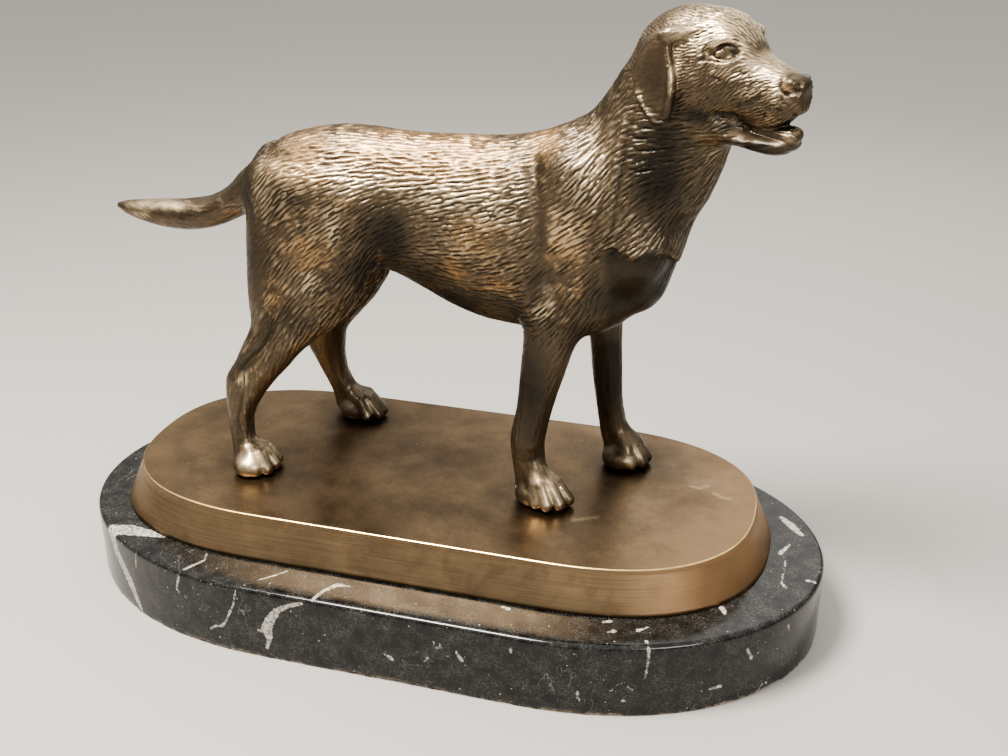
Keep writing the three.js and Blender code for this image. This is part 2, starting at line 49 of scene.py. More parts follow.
# Camera, lights and floor. Places are in millimetres, in the model's own frame.
studio = {
    "cameraPlace": (124.67, -352.20, 248.41),
    "cameraForward": (-0.25674, 0.86929, -0.42239),
    "cameraRight": (0.9590, 0.2832, 0.0),
    "lens": 44.866,
    "sensor": 36.0,
    "floorColour": (0.4, 0.39, 0.37),
    "skyLow": (0.2, 0.19, 0.17), "skyHigh": (1.0, 0.97, 0.91),
    "skyStrength": 1.15,
    "lamps": [
        # name, place, aimed at, size, power in watts, colour
        ("key", (-160, -180, 620), (0, 0, 90), 240, 10.0, (1.0, 0.95, 0.87)),
        ("front", (420, -420, 380), (30, 0, 80), 240, 1.5, (1.0, 0.97, 0.93)),
        ("back", (120, 520, 420), (0, 0, 90), 520, 0.6, (1.0, 0.98, 0.94)),
    ],
}


def addCamera():
    forward = Vector(studio["cameraForward"]).normalized()
    right = Vector(studio["cameraRight"])
    right = (right - forward * right.dot(forward)).normalized()
    up = right.cross(forward)
    turn = Matrix((right, up, -forward)).transposed().to_4x4()
    data = bpy.data.cameras.new("photoCamera")
    data.lens = studio["lens"]
    data.sensor_width = studio["sensor"]
    data.clip_start = 0.01
    camera = bpy.data.objects.new("photoCamera", data)
    camera.matrix_world = Matrix.Translation(Vector(studio["cameraPlace"]) * mm) @ turn
    scene.collection.objects.link(camera)
    scene.camera = camera


def addLamps():
    for name, place, target, size, power, colour in studio["lamps"]:
        data = bpy.data.lights.new(name, "AREA")
        data.shape = "DISK"
        data.size = size * mm
        data.energy = power
        data.color = colour
        lamp = bpy.data.objects.new(name, data)
        lamp.location = Vector(place) * mm
        aim = Vector(target) - Vector(place)
        lamp.rotation_euler = aim.to_track_quat("-Z", "Y").to_euler()
        scene.collection.objects.link(lamp)
    world = bpy.data.worlds.new("studioWorld")
    world.use_nodes = True
    # The sky is dim at the level of the floor and bright overhead, like a room lit from its ceiling.
    tree = world.node_tree
    background = tree.nodes["Background"]
    background.inputs["Strength"].default_value = studio["skyStrength"]
    split = tree.nodes.new("ShaderNodeSeparateXYZ")
    tree.links.new(tree.nodes.new("ShaderNodeTexCoord").outputs["Generated"], split.inputs[0])
    rise = tree.nodes.new("ShaderNodeMapRange")
    rise.interpolation_type = "SMOOTHSTEP"
    rise.inputs["From Max"].default_value = 0.9
    tree.links.new(split.outputs["Z"], rise.inputs["Value"])
    mix = tree.nodes.new("ShaderNodeMix")
    mix.data_type = "RGBA"
    mix.inputs[6].default_value = (*studio["skyLow"], 1)
    mix.inputs[7].default_value = (*studio["skyHigh"], 1)
    tree.links.new(rise.outputs["Result"], mix.inputs[0])
    tree.links.new(mix.outputs[2], background.inputs["Color"])
    scene.world = world
    scene.view_settings.view_transform = "AgX"
    scene.view_settings.look = "AgX - Medium High Contrast"


# Node helpers. A material is a short list of nodes, made and joined by these.
class Nodes:
    def __init__(self, name, **look):
        self.material = bpy.data.materials.new(name)
        self.material.use_nodes = True
        self.tree = self.material.node_tree
        self.shader = self.tree.nodes["Principled BSDF"]
        for socket, value in look.items():
            self.shader.inputs[socket.replace("_", " ")].default_value = value

    def add(self, kind, values=None, **options):
        node = self.tree.nodes.new(kind)
        for option, value in options.items():
            setattr(node, option, value)
        for socket, value in (values or {}).items():
            self.put(value, node.inputs[socket])
        return node

    def put(self, value, socket):
        if isinstance(value, bpy.types.NodeSocket):
            self.tree.links.new(value, socket)
        else:
            socket.default_value = value

    def out(self, value, socket):
        self.put(value, self.shader.inputs[socket])

    def attribute(self, name):
        return self.add("ShaderNodeAttribute", attribute_name=name).outputs["Fac"]

    def place(self, scale=(1, 1, 1)):
        # Object coordinates in millimetres.
        place = self.add("ShaderNodeTexCoord").outputs["Object"]
        return self.add("ShaderNodeMapping", {0: place, 3: tuple(1000 * s for s in scale)}).outputs[0]

    def noise(self, vector, scale, detail=3.0, rough=0.55, distortion=0.0):
        values = {"Vector": vector, "Scale": scale, "Detail": detail, "Roughness": rough}
        return self.add("ShaderNodeTexNoise", values | {"Distortion": distortion}).outputs["Fac"]

    def maths(self, how, a, b=0.5):
        return self.add("ShaderNodeMath", {0: a, 1: b}, operation=how).outputs[0]

    def plus(self, a, b):
        return self.maths("ADD", a, b)

    def times(self, a, b):
        return self.maths("MULTIPLY", a, b)

    def spread(self, value, low, high, newLow=0.0, newHigh=1.0):
        values = {"Value": value, "From Min": low, "From Max": high, "To Min": newLow, "To Max": newHigh}
        return self.add("ShaderNodeMapRange", values).outputs["Result"]

    def fray(self, value, noise, by):
        # The value with noise of up to "by" added, for a broken edge.
        return self.plus(value, self.spread(noise, 0.3, 0.7, -by, by))

    def cells(self, place, scale):
        # Distance to the nearest of random points, and a random number for each point.
        node = self.add("ShaderNodeTexVoronoi", {"Vector": place, "Scale": scale, "Randomness": 1.0})
        chance = self.add("ShaderNodeSeparateColor", {0: node.outputs["Color"]})
        return node.outputs["Distance"], chance.outputs[0]

    def mix(self, factor, a, b):
        node = self.add("ShaderNodeMix", {0: factor}, data_type="RGBA")
        for value, socket in ((a, node.inputs[6]), (b, node.inputs[7])):
            self.put(value if isinstance(value, bpy.types.NodeSocket) else (*value, 1), socket)
        return node.outputs[2]

    def bump(self, height, distance, strength=1.0, normal=None):
        node = self.add("ShaderNodeBump", {"Height": height, "Distance": distance * mm, "Strength": strength})
        if normal is not None:
            self.put(normal, node.inputs["Normal"])
        return node.outputs["Normal"]


def meshOf(name, points, faces, material, uv=None):
    # Points in millimetres become a smooth mesh in metres.
    mesh = bpy.data.meshes.new(name)
    mesh.from_pydata([], [], [])
    faces = np.asarray(faces)
    mesh.vertices.add(len(points))
    mesh.vertices.foreach_set("co", (np.asarray(points) * mm).astype(np.float32).ravel())
    mesh.loops.add(faces.size)
    mesh.loops.foreach_set("vertex_index", faces.ravel().astype(np.int32))
    mesh.polygons.add(len(faces))
    mesh.polygons.foreach_set("loop_start", np.arange(0, faces.size, faces.shape[1], dtype=np.int32))
    mesh.update(calc_edges=True)
    mesh.validate()
    mesh.shade_smooth()
    if uv is not None:
        layer = mesh.uv_layers.new(name="surface")
        layer.data.foreach_set("uv", np.asarray(uv)[faces.ravel()].astype(np.float32).ravel())
    mesh.materials.append(material)
    piece = bpy.data.objects.new(name, mesh)
    scene.collection.objects.link(piece)
    return piece


def smoothStep(a, b, v):
    t = np.clip((v - a) / (b - a), 0, 1)
    return t * t * (3 - 2 * t)


def patchField(u, v, patches):
    # Soft patches (u, v, reach in u and v, strength): the largest of strength * exp(-(distance / reach)^2).
    field = np.zeros(len(u))
    for pu, pv, ru, rv, strength in patches:
        du, dv = (u - pu) / ru, (v - pv) / rv
        field = np.maximum(field, strength * np.exp(-(du * du + dv * dv)))
    return field


def storeAttribute(mesh, name, values):
    layer = mesh.attributes.new(name, "FLOAT", "POINT")
    layer.data.foreach_set("value", np.asarray(values, dtype=np.float32))


# Slabs: the plate and the plinth are one outline carried through rings of height and inset.
def slabOutline(length, width, end, power, segments):
    # x = straight half + end * |cos a| ^ (2 / power), y = half width * |sin a| ^ (2 / power), with their
    # signs.
    a = 2 * np.pi * (np.arange(segments) + 0.5) / segments
    c, s = np.cos(a), np.sin(a)
    x = np.sign(c) * (length / 2 - end + end * np.abs(c) ** (2 / power))
    y = np.sign(s) * width / 2 * np.abs(s) ** (2 / power)
    # The same points, moved to even steps of the way round.
    for _ in range(2):
        way = np.concatenate([[0], np.cumsum(np.hypot(np.diff(x, append=x[0]), np.diff(y, append=y[0])))])
        even = np.linspace(0, way[-1], segments, endpoint=False)
        x, y = np.interp(even, way, np.append(x, x[0])), np.interp(even, way, np.append(y, y[0]))
    return x, y, even


def slabGrid(length, width, end, power, rings, segments):
    # Each ring [z, inset] is the outline drawn "inset" inside the first. Returns the points and faces, and
    # for each point the way round its ring and the way from the first ring.
    points, around, down = [], [], []
    run = 0.0
    for k, (z, inset) in enumerate(rings):
        x, y, way = slabOutline(length - 2 * inset, width - 2 * inset, end - inset, power, segments)
        if k:
            run += math.hypot(z - rings[k - 1][0], inset - rings[k - 1][1])
        points.append(np.stack([x, y, np.full(segments, z)], 1))
        around.append(way)
        down.append(np.full(segments, run))
    i = np.arange(segments)
    j = (i + 1) % segments
    faces = []
    for k in range(len(rings) - 1):
        a = k * segments
        faces.append(np.stack([a + i, a + j, a + j + segments, a + i + segments], 1))
    # The first and the last ring are closed by a strip of quads across each.
    k = np.arange(segments // 2 - 1)
    cap = np.stack([k, k + 1, segments - 2 - k, segments - 1 - k], 1)
    faces += [cap[:, ::-1], cap + (len(rings) - 1) * segments]
    return np.concatenate(points), np.concatenate(faces), np.concatenate(around), np.concatenate(down)


def boxSize(node):
    low, high = (np.array(v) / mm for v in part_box(node))
    return low, high, high - low


# Plinth: black marble.
plinthSpec = {
    "node": "marble_plinth",
    "end": 83.6, "power": 2.04,
    "topRound": 1.7, "footRound": 0.7,
    "segments": 1000, "sideSteps": 36, "topSteps": 26, "topReach": 20.0,
    "chipDepth": 0.9, "chipHeight": 1.6, "chipSeed": 5,
    # The chips' waves along the way round: waves per mm, and height.
    "chipWaves": ((0.11, 1), (0.37, 0.8), (0.93, 0.6), (2.1, 0.5), (3.7, 0.3)),
    # White veins on the slab's faces: x, y, z and half width at each point.
    "veins": [
        [(-104, -44.8, 24.9, 3), (-98, -43.2, 24.9, 3.2), (-91, -43, 24.9, 2.2), (-84, -43.8, 24.9, 0.7)],
        [(-103.1, -45.1, 24.8, 2.8), (-101.3, -46.4, 18.6, 2.4), (-96.8, -49.4, 13.5, 2.2),
         (-94.2, -51, 9.5, 2.2), (-91.8, -52.3, 4.9, 1.5), (-89.6, -53.4, 1, 0.7)],
        [(-65.3, -49, 24.9, 0.5), (-64.2, -52.3, 24.9, 0.5), (-67.7, -58.7, 24.9, 0.6),
         (-69.3, -60.6, 22.8, 0.5), (-70.7, -60.2, 17.8, 0.4), (-69.8, -60.5, 16.6, 0.3),
         (-66.6, -61.2, 16.2, 0.3)],
        [(-47.5, -63.4, 24.6, 0.4), (-48.9, -63.4, 18.2, 0.35), (-50.7, -63.3, 14.8, 0.45),
         (-52.1, -63.2, 11.4, 0.4), (-54.2, -63, 8.6, 0.45), (-56.8, -62.7, 8.2, 0.4),
         (-58.6, -62.5, 6.2, 0.4)],
        [(-25.2, -63.5, 23.4, 0.6), (-30, -63.5, 21.6, 0.7), (-34.2, -63.5, 18.6, 1.2),
         (-36.9, -63.5, 14.5, 1.7), (-38, -63.5, 11.5, 1.9), (-37.5, -63.5, 8.6, 1.3),
         (-37.6, -63.5, 6.3, 0.8), (-38.6, -63.5, 3.8, 0.6)],
        [(-38.4, -63.5, 10, 0.9), (-41.1, -63.5, 10.3, 0.4)],
        [(-21.8, -62, 24.9, 0.6), (-20.6, -57.3, 24.9, 0.6), (-17.8, -53.1, 24.9, 1),
         (-13.5, -52.6, 24.9, 0.5)],
        [(-42.7, -57.6, 24.9, 0.35), (-38.9, -54.2, 24.9, 0.45), (-35.9, -50.5, 24.9, 0.4)],
        [(-88.3, -54, 24.9, 0.3), (-89.6, -53.4, 18.1, 0.3)],
        [(111.1, 26.8, 24.9, 0.8), (114.3, 23, 24.9, 1.5), (118.4, 17.5, 24.9, 1.1)],
        [(115.4, 10.7, 24.9, 0.5), (112.9, 4.1, 24.9, 0.9)],
        [(114.3, 2.6, 24.9, 0.4), (114.9, -2, 24.9, 0.35), (114.7, -12.9, 24.9, 0.4),
         (116.3, -15.1, 24.9, 0.5)],
        [(98.8, -31.5, 24.9, 1), (100, -34.6, 24.9, 0.5)],
        [(79.7, -54, 24.9, 0.5), (81.2, -57, 24.2, 0.7), (80.9, -57.1, 17.9, 0.3), (80.4, -57.3, 13, 0.3)],
        [(108, -40.9, 18.4, 0.5), (109.3, -39.7, 14.6, 0.6)],
        [(98.5, -48.3, 7.2, 0.5), (101.3, -46.4, 7.4, 0.7)],
        [(112.2, -36.7, 1.4, 0.4), (112.9, -35.9, 3, 0.35), (114.4, -34.2, 2.9, 0.4),
         (113.9, -34.8, 1.2, 0.35)],
        [(122.3, -9.4, 24.9, 0.7), (124.7, -9.6, 24.9, 0.6)],
        [(118.6, -28.4, 20.5, 0.5), (119, -27.8, 18.5, 0.3)],
        [(1.3, -63.5, 10.2, 0.6), (3.9, -63.5, 8.9, 0.6)],
        [(14.1, -63.5, 10, 0.3), (15.5, -63.5, 11.8, 0.5)],
        [(24.6, -63.5, 16, 0.45), (26.1, -63.5, 13.2, 0.65)],
        [(41.4, -63.5, 20.7, 0.45), (41.4, -63.5, 19.3, 0.4)],
        [(75.9, -58.8, 11, 0.4), (77.3, -58.3, 9.8, 0.5)], [(74.5, -59.2, 6, 0.65), (75, -59.1, 5.9, 0.65)],
        [(17, -63.5, 18.9, 0.25), (17.9, -63.5, 16.1, 0.25), (19.8, -63.5, 16.5, 0.25),
         (18.9, -63.5, 18.9, 0.25)],
        [(34.8, -49.7, 24.9, 0.7), (36.9, -50.2, 24.9, 0.7)],
        [(65.8, -48.6, 24.9, 0.5), (67.8, -47.6, 24.9, 0.7)],
        [(68.1, -53.2, 24.9, 0.4), (69.9, -51.9, 24.9, 0.7)],
        [(76.5, -49.7, 24.9, 0.7), (78.8, -47.5, 24.9, 0.4)],
        [(61.4, -62.1, 8.2, 0.5), (62.1, -62, 5.3, 0.3)],
        [(60.2, -62.3, 22.1, 0.3), (62.6, -61.9, 20.2, 0.3)],
        [(71, -60.1, 8.9, 0.25), (72.1, -59.9, 11.2, 0.25), (74.7, -59.2, 12.7, 0.3)],
        # The far side and the left end, plainer.
        [(-122, 18, 24.9, 0.5), (-114, 26, 24.9, 0.7), (-104, 36, 24.9, 0.4)],
        [(-60, 62.4, 24.2, 0.6), (-56, 62.8, 14, 0.9), (-49, 63.4, 4, 0.5)],
        [(24, 63.5, 22, 0.4), (33, 63.5, 12, 0.6), (38, 63.5, 9, 0.3)],
        [(88, 54.1, 23, 0.5), (94, 51, 12, 0.8), (97, 49, 3, 0.5)],
    ],
}


def veinField(points, veins):
    # For each point, how far it lies inside the nearest vein: the largest of (half width - distance), in mm.
    field = np.full(len(points), -9.0)
    for line in veins:
        line = np.array(line, float)
        for a, b in zip(line[:-1], line[1:]):
            d = b[:3] - a[:3]
            t = np.clip((points - a[:3]) @ d / (d @ d), 0, 1)
            far = np.linalg.norm(points - a[:3] - t[:, None] * d, axis=1)
            field = np.maximum(field, a[3] + (b[3] - a[3]) * t - far)
    return np.maximum(field, -3.0)


def marbleMaterial():
    n = Nodes("polishedBlackMarble", Roughness=0.16, IOR=1.5, Specular_IOR_Level=0.42)
    place = n.place()
    rough = n.noise(place, 0.35, 5, 0.65)
    fine = n.noise(place, 1.6, 4, 0.6)
    # The veins: the stored depth inside a vein, its edge broken up by noise.
    inside = n.fray(n.fray(n.attribute("vein"), rough, 0.28), fine, 0.15)
    cloudy = n.spread(n.noise(place, 0.9, 6, 0.75), 0.4, 0.56, 0.15, 1.0)
    vein = n.times(n.spread(inside, -0.05, 0.25), cloudy)
    # Thin pale threads all through the stone.
    threads = n.maths("ABSOLUTE", n.maths("SUBTRACT", n.noise(place, 0.03, 5, 0.5, 0.7), 0.5))
    threads = n.spread(threads, 0.0, 0.003, 1.0, 0.0)
    threads = n.times(threads, n.spread(n.noise(place, 0.05, 3), 0.5, 0.66))
    # Small fossils and flecks in two sizes: a share of the cells of the stone has one, each of its own size.
    white = n.maths("MAXIMUM", vein, n.times(threads, 0.3))
    for scale, share, width, strength in ((0.2, 0.8, 0.12, 0.85), (0.55, 0.7, 0.2, 0.6)):
        far, chance = n.cells(n.place((1, 1, 1.3)), scale)
        size = n.spread(chance, share, 1.0, 0.0, width)
        fleck = n.spread(n.maths("SUBTRACT", size, far), 0.0, 0.03)
        fleck = n.times(fleck, n.spread(fine, 0.36, 0.56))
        white = n.maths("MAXIMUM", white, n.times(fleck, strength))
    cloud = n.spread(n.noise(place, 0.16, 6, 0.72), 0.38, 0.66)
    cloud = n.times(cloud, n.spread(fine, 0.4, 0.62))
    black = n.mix(cloud, (0.0035, 0.0038, 0.004), (0.06, 0.058, 0.052))
    colour = n.mix(white, black, (0.5, 0.47, 0.42))
    # The ground lower arris, chipped and stained.
    chip = n.attribute("chip")
    chip = n.spread(n.fray(chip, fine, 0.25), 0.45, 0.6)
    stain = n.mix(n.spread(rough, 0.45, 0.6), (0.42, 0.34, 0.22), (0.17, 0.065, 0.03))
    colour = n.mix(chip, colour, stain)
    n.out(colour, "Base Color")
    gloss = n.spread(n.noise(place, 0.12, 4), 0.3, 0.7, 0.1, 0.2)
    n.out(n.plus(gloss, n.times(chip, 0.5)), "Roughness")
    polish = n.bump(n.noise(place, 3.0, 3), 0.004, 0.5)
    n.out(n.bump(n.times(white, -1.0), 0.03, 0.6, polish), "Normal")
    return n.material


def makePlinth():
    spec = plinthSpec
    low, high, size = boxSize(spec["node"])
    height = size[2]
    foot, top = spec["footRound"], spec["topRound"]
    steps = np.linspace(0, 1, 7)
    rings = [(foot - foot * math.cos(a), foot - foot * math.sin(a)) for a in steps * math.pi / 2]
    rings += [(z, 0.0) for z in np.linspace(foot, height - top, spec["sideSteps"])[1:]]
    rings += [(height - top + top * math.sin(a), top - top * math.cos(a)) for a in steps[1:] * math.pi / 2]
    rings += [(height, top + d) for d in np.linspace(0, spec["topReach"], spec["topSteps"])[1:]]
    points, faces, way, run = slabGrid(size[0], size[1], spec["end"], spec["power"], rings, spec["segments"])
    # Chips: near the lower arris the surface is eaten inwards by a sum of waves of the way round.
    rng = np.random.default_rng(spec["chipSeed"])
    wave = sum(np.sin(way * f + rng.uniform(0, 6.3)) * a for f, a in spec["chipWaves"])
    bite = np.clip(wave / sum(a for f, a in spec["chipWaves"]) + 0.35, 0, 1)
    atFoot = smoothStep(spec["chipHeight"], 0.2, points[:, 2])
    shrink = 1 - spec["chipDepth"] * bite * atFoot / np.hypot(points[:, 0], points[:, 1])
    points[:, :2] *= shrink[:, None]
    points += low + [size[0] / 2, size[1] / 2, 0]
    piece = meshOf("plinth_stone", points, faces, marbleMaterial())
    storeAttribute(piece.data, "vein", veinField(points, spec["veins"]))
    storeAttribute(piece.data, "chip", atFoot * (0.35 + 0.65 * bite))
    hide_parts(spec["node"])
    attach(piece, "root")
    print("plinth:", len(points), "points")


# Plate: brown bronze, brushed, with a polished top edge that carries a painted gold highlight.
plateSpec = {
    "node": "bronze_plate",
    "end": 65.5, "power": 2.4, "slope": 5.75,
    "edgeRound": 0.9, "segments": 720, "sideSteps": 14, "topStep": 1.0, "topMiddle": 1.5,
    # Painted shade on top, under the dog and round its paws, with the darker reflection of its belly: x, y,
    # reach in x and y, strength.
    "paintedShade": [(-62, -12, 26, 16, 0.9), (-46, 33, 20, 12, 1.0), (36, -6, 28, 22, 1.0), (58, 26, 24, 18, 1.0),
             (0, 8, 52, 22, 0.75), (-90, 18, 22, 16, 0.4), (20, -22, 46, 12, 0.6), (78, 8, 20, 16, 0.5)],
    # Scratches on top: x, y, z and half width at each point.
    "scratches": [[(81.3, 15.7, 38.4, 0.5), (84.1, 14.9, 38.4, 0.5), (86.8, 17.8, 38.4, 0.4)],
                  [(89.2, 13.2, 38.4, 0.5), (92.4, 10.9, 38.4, 0.5), (94.6, 11.1, 38.4, 0.4)],
                  [(48.5, -16.5, 38.4, 0.5), (55.5, -12.5, 38.4, 0.4)]],
}


def plateMaterial():
    n = Nodes("brushedBrownBronze", Metallic=1.0)
    place = n.place()
    way = n.add("ShaderNodeUVMap", uv_map="surface").outputs[0]
    along = n.add("ShaderNodeMapping", {0: way, 3: (0.02, 2.2, 1)}).outputs[0]
    fineAlong = n.add("ShaderNodeMapping", {0: way, 3: (0.05, 9.0, 1)}).outputs[0]
    side, end = n.attribute("side"), n.attribute("end")
    clouds = n.noise(place, 0.022, 4, 0.6)
    spots = n.noise(place, 0.11, 5, 0.65)
    grain = n.noise(place, 1.1, 4, 0.7)
    streaks = n.noise(along, 1.0, 4, 0.6)
    fineStreaks = n.noise(fineAlong, 1.0, 3, 0.6)
    brown = n.mix(n.spread(clouds, 0.35, 0.65), (0.18, 0.125, 0.072), (0.29, 0.203, 0.12))
    brown = n.mix(n.spread(spots, 0.35, 0.75, 0.0, 0.5), brown, (0.13, 0.092, 0.056))
    brown = n.mix(n.spread(grain, 0.5, 0.75, 0.0, 0.35), brown, (0.44, 0.32, 0.205))
    # The sloped side is browner at the left, with a painted coppery reflection towards the right end.
    copper = n.mix(n.spread(streaks, 0.3, 0.7), (0.155, 0.108, 0.063), (0.28, 0.196, 0.115))
    copper = n.mix(n.spread(fineStreaks, 0.35, 0.75, 0, 0.4), copper, (0.46, 0.335, 0.21))
    copper = n.mix(n.spread(spots, 0.5, 0.68, 0, 0.45), copper, (0.11, 0.078, 0.048))
    copper = n.mix(n.times(end, 0.6), copper, (0.44, 0.26, 0.135))
    # Painted reflection: the top is lighter towards both ends.
    top = n.mix(n.times(end, 0.75), brown, (0.3, 0.195, 0.11))
    # Painted shade: the top is darkened under the dog, and most of all round its paws.
    paintedShade = n.spread(n.fray(n.attribute("paintedShade"), spots, 0.2), 0.1, 0.9, 0.0, 0.75)
    top = n.mix(paintedShade, top, (0.07, 0.05, 0.032))
    colour = n.mix(side, top, copper)
    # Pale specks and pin holes of the casting.
    far, chance = n.cells(place, 0.24)
    speck = n.spread(n.maths("SUBTRACT", n.spread(chance, 0.72, 1.0, 0.0, 0.085), far), 0.0, 0.02)
    colour = n.mix(n.times(speck, 0.7), colour, (0.5, 0.4, 0.28))
    scratch = n.attribute("scratch")
    colour = n.mix(n.times(scratch, 0.35), colour, (0.62, 0.48, 0.31))
    # Painted highlight: a bright gold line round the top edge, where the bronze is also made glossier.
    line = n.spread(n.fray(n.attribute("edge"), spots, 0.2), 0.55, 0.95)
    colour = n.mix(line, colour, (1.0, 0.72, 0.33))
    n.out(colour, "Base Color")
    gloss = n.spread(n.noise(place, 0.06, 4, 0.6), 0.3, 0.7, 0.3, 0.44)
    gloss = n.plus(gloss, n.times(side, 0.06))
    n.out(n.plus(gloss, n.times(line, -0.12)), "Roughness")
    rough = n.plus(n.times(fineStreaks, side), n.times(n.noise(place, 1.3, 3), 0.35))
    rough = n.maths("SUBTRACT", rough, n.plus(scratch, speck))
    n.out(n.bump(rough, 0.04, 0.5), "Normal")
    return n.material


def makePlate():
    spec = plateSpec
    low, high, size = boxSize(spec["node"])
    height, slope, r = size[2], spec["slope"], spec["edgeRound"]
    lean = math.atan2(slope, height)
    # The side runs up to where the edge's round starts, and the top in to its middle strip.
    start = height - 1.1 * r
    rings = [(z, slope * z / height) for z in np.linspace(0, start, spec["sideSteps"])]
    centre = (height - r, rings[-1][1] + r * math.cos(lean) + (start - height + r) * math.tan(lean))
    for a in np.linspace(lean, math.pi / 2, 7)[1:]:
        rings.append((centre[0] + r * math.sin(a), centre[1] - r * math.cos(a)))
    inner = rings[-1][1]
    reach = min(spec["end"], size[1] / 2) - inner - spec["topMiddle"]
    rings += [(height, inner + d) for d in np.arange(spec["topStep"], reach, spec["topStep"])]
    points, faces, way, run = slabGrid(size[0], size[1], spec["end"], spec["power"], rings, spec["segments"])
    ring = np.repeat(np.arange(len(rings)), spec["segments"])
    side = (ring < spec["sideSteps"] + 2).astype(float)
    # The ring of the top edge, where the painted highlight line runs.
    edge = np.exp(-((ring - spec["sideSteps"] - 2.5) / 2.0) ** 2)
    points += low + [size[0] / 2, size[1] / 2, 0]
    # Painted shade under the dog and round its paws.
    paintedShade = patchField(points[:, 0], points[:, 1], spec["paintedShade"])
    scratch = smoothStep(-0.7, 0.3, veinField(points, spec["scratches"]))
    piece = meshOf("plate_bronze", points, faces, plateMaterial(), np.stack([way, run], 1))
    storeAttribute(piece.data, "side", side)
    storeAttribute(piece.data, "edge", edge)
    x = points[:, 0]
    # Where the painted reflection lightens the plate: most towards the right end, less towards the left end.
    storeAttribute(piece.data, "end", smoothStep(62, 100, x) + 0.4 * smoothStep(80, 112, -x))
    storeAttribute(piece.data, "paintedShade", paintedShade)
    storeAttribute(piece.data, "scratch", scratch)
    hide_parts(spec["node"])
    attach(piece, "root")
    print("plate:", len(points), "points")


# Dog. The numbers of its forms are those of the model's own source, in millimetres on the dog's middle plane:
# x forward, y to its left, z up from its soles.
dogSpec = {
    "node": "bronze_dog",
    "middle": 11.5,
    "headAt": (87.3, -10.0, 147.2), "headYaw": 28.0, "headRoll": 3.0,
    # Size of the first, even faces, how far off the surface a crease is looked for, and the most triangles.
    "voxel": 0.62, "probe": 1.2, "triangles": 192000,
}


def between(rows, at):
    # Reads rows [at, value, value...] along a smooth cubic curve through the rows.
    rows = np.array(rows, float)
    x, y = rows[:, 0], rows[:, 1:]
    slope = np.zeros_like(y)
    slope[1:-1] = (y[2:] - y[:-2]) / (x[2:] - x[:-2])[:, None]
    at = np.clip(at, x[0], x[-1])
    i = np.clip(np.searchsorted(x, at, side="right") - 1, 0, len(x) - 2)
    span = (x[i + 1] - x[i])[:, None]
    t = (at - x[i])[:, None] / span
    t2, t3 = t * t, t * t * t
    value = y[i] * (2 * t3 - 3 * t2 + 1) + slope[i] * span * (t3 - 2 * t2 + t)
    value += y[i + 1] * (3 * t2 - 2 * t3) + slope[i + 1] * span * (t3 - t2)
    return value.T


def join(a, b, k):
    # The smaller of two fields, with a fillet about k wide.
    h = np.maximum(k - np.abs(a - b), 0) / k
    return np.minimum(a, b) - h * h * k * 0.25


def cut(a, b, k):
    return -join(-a, b, k)


def ellipsoid(p, c, r):
    q = (p - np.array(c)) / np.array(r)
    k0 = np.linalg.norm(q, axis=1)
    k1 = np.linalg.norm(q / np.array(r), axis=1)
    return k0 * (k0 - 1) / np.maximum(k1, 1e-9)


def bar(p, a, b, ra, rb):
    a, b = np.array(a, float), np.array(b, float)
    d = b - a
    t = np.clip((p - a) @ d / (d @ d), 0, 1)
    return np.linalg.norm(p - a - t[:, None] * d, axis=1) - (ra + (rb - ra) * t)


def oval(u, v, a, b, past):
    k = np.hypot(u / a, v / b)
    slope = np.maximum(np.hypot(u / (a * a), v / (b * b)), 1e-9)
    d = (k - 1) * k / slope
    inner = np.minimum(a, b) * 0.5
    return np.where(past > 0, np.hypot(np.maximum(d + inner, 0), past) - inner, d)


def pastRows(rows, at):
    return np.maximum(rows[0][0] - at, at - rows[-1][0])


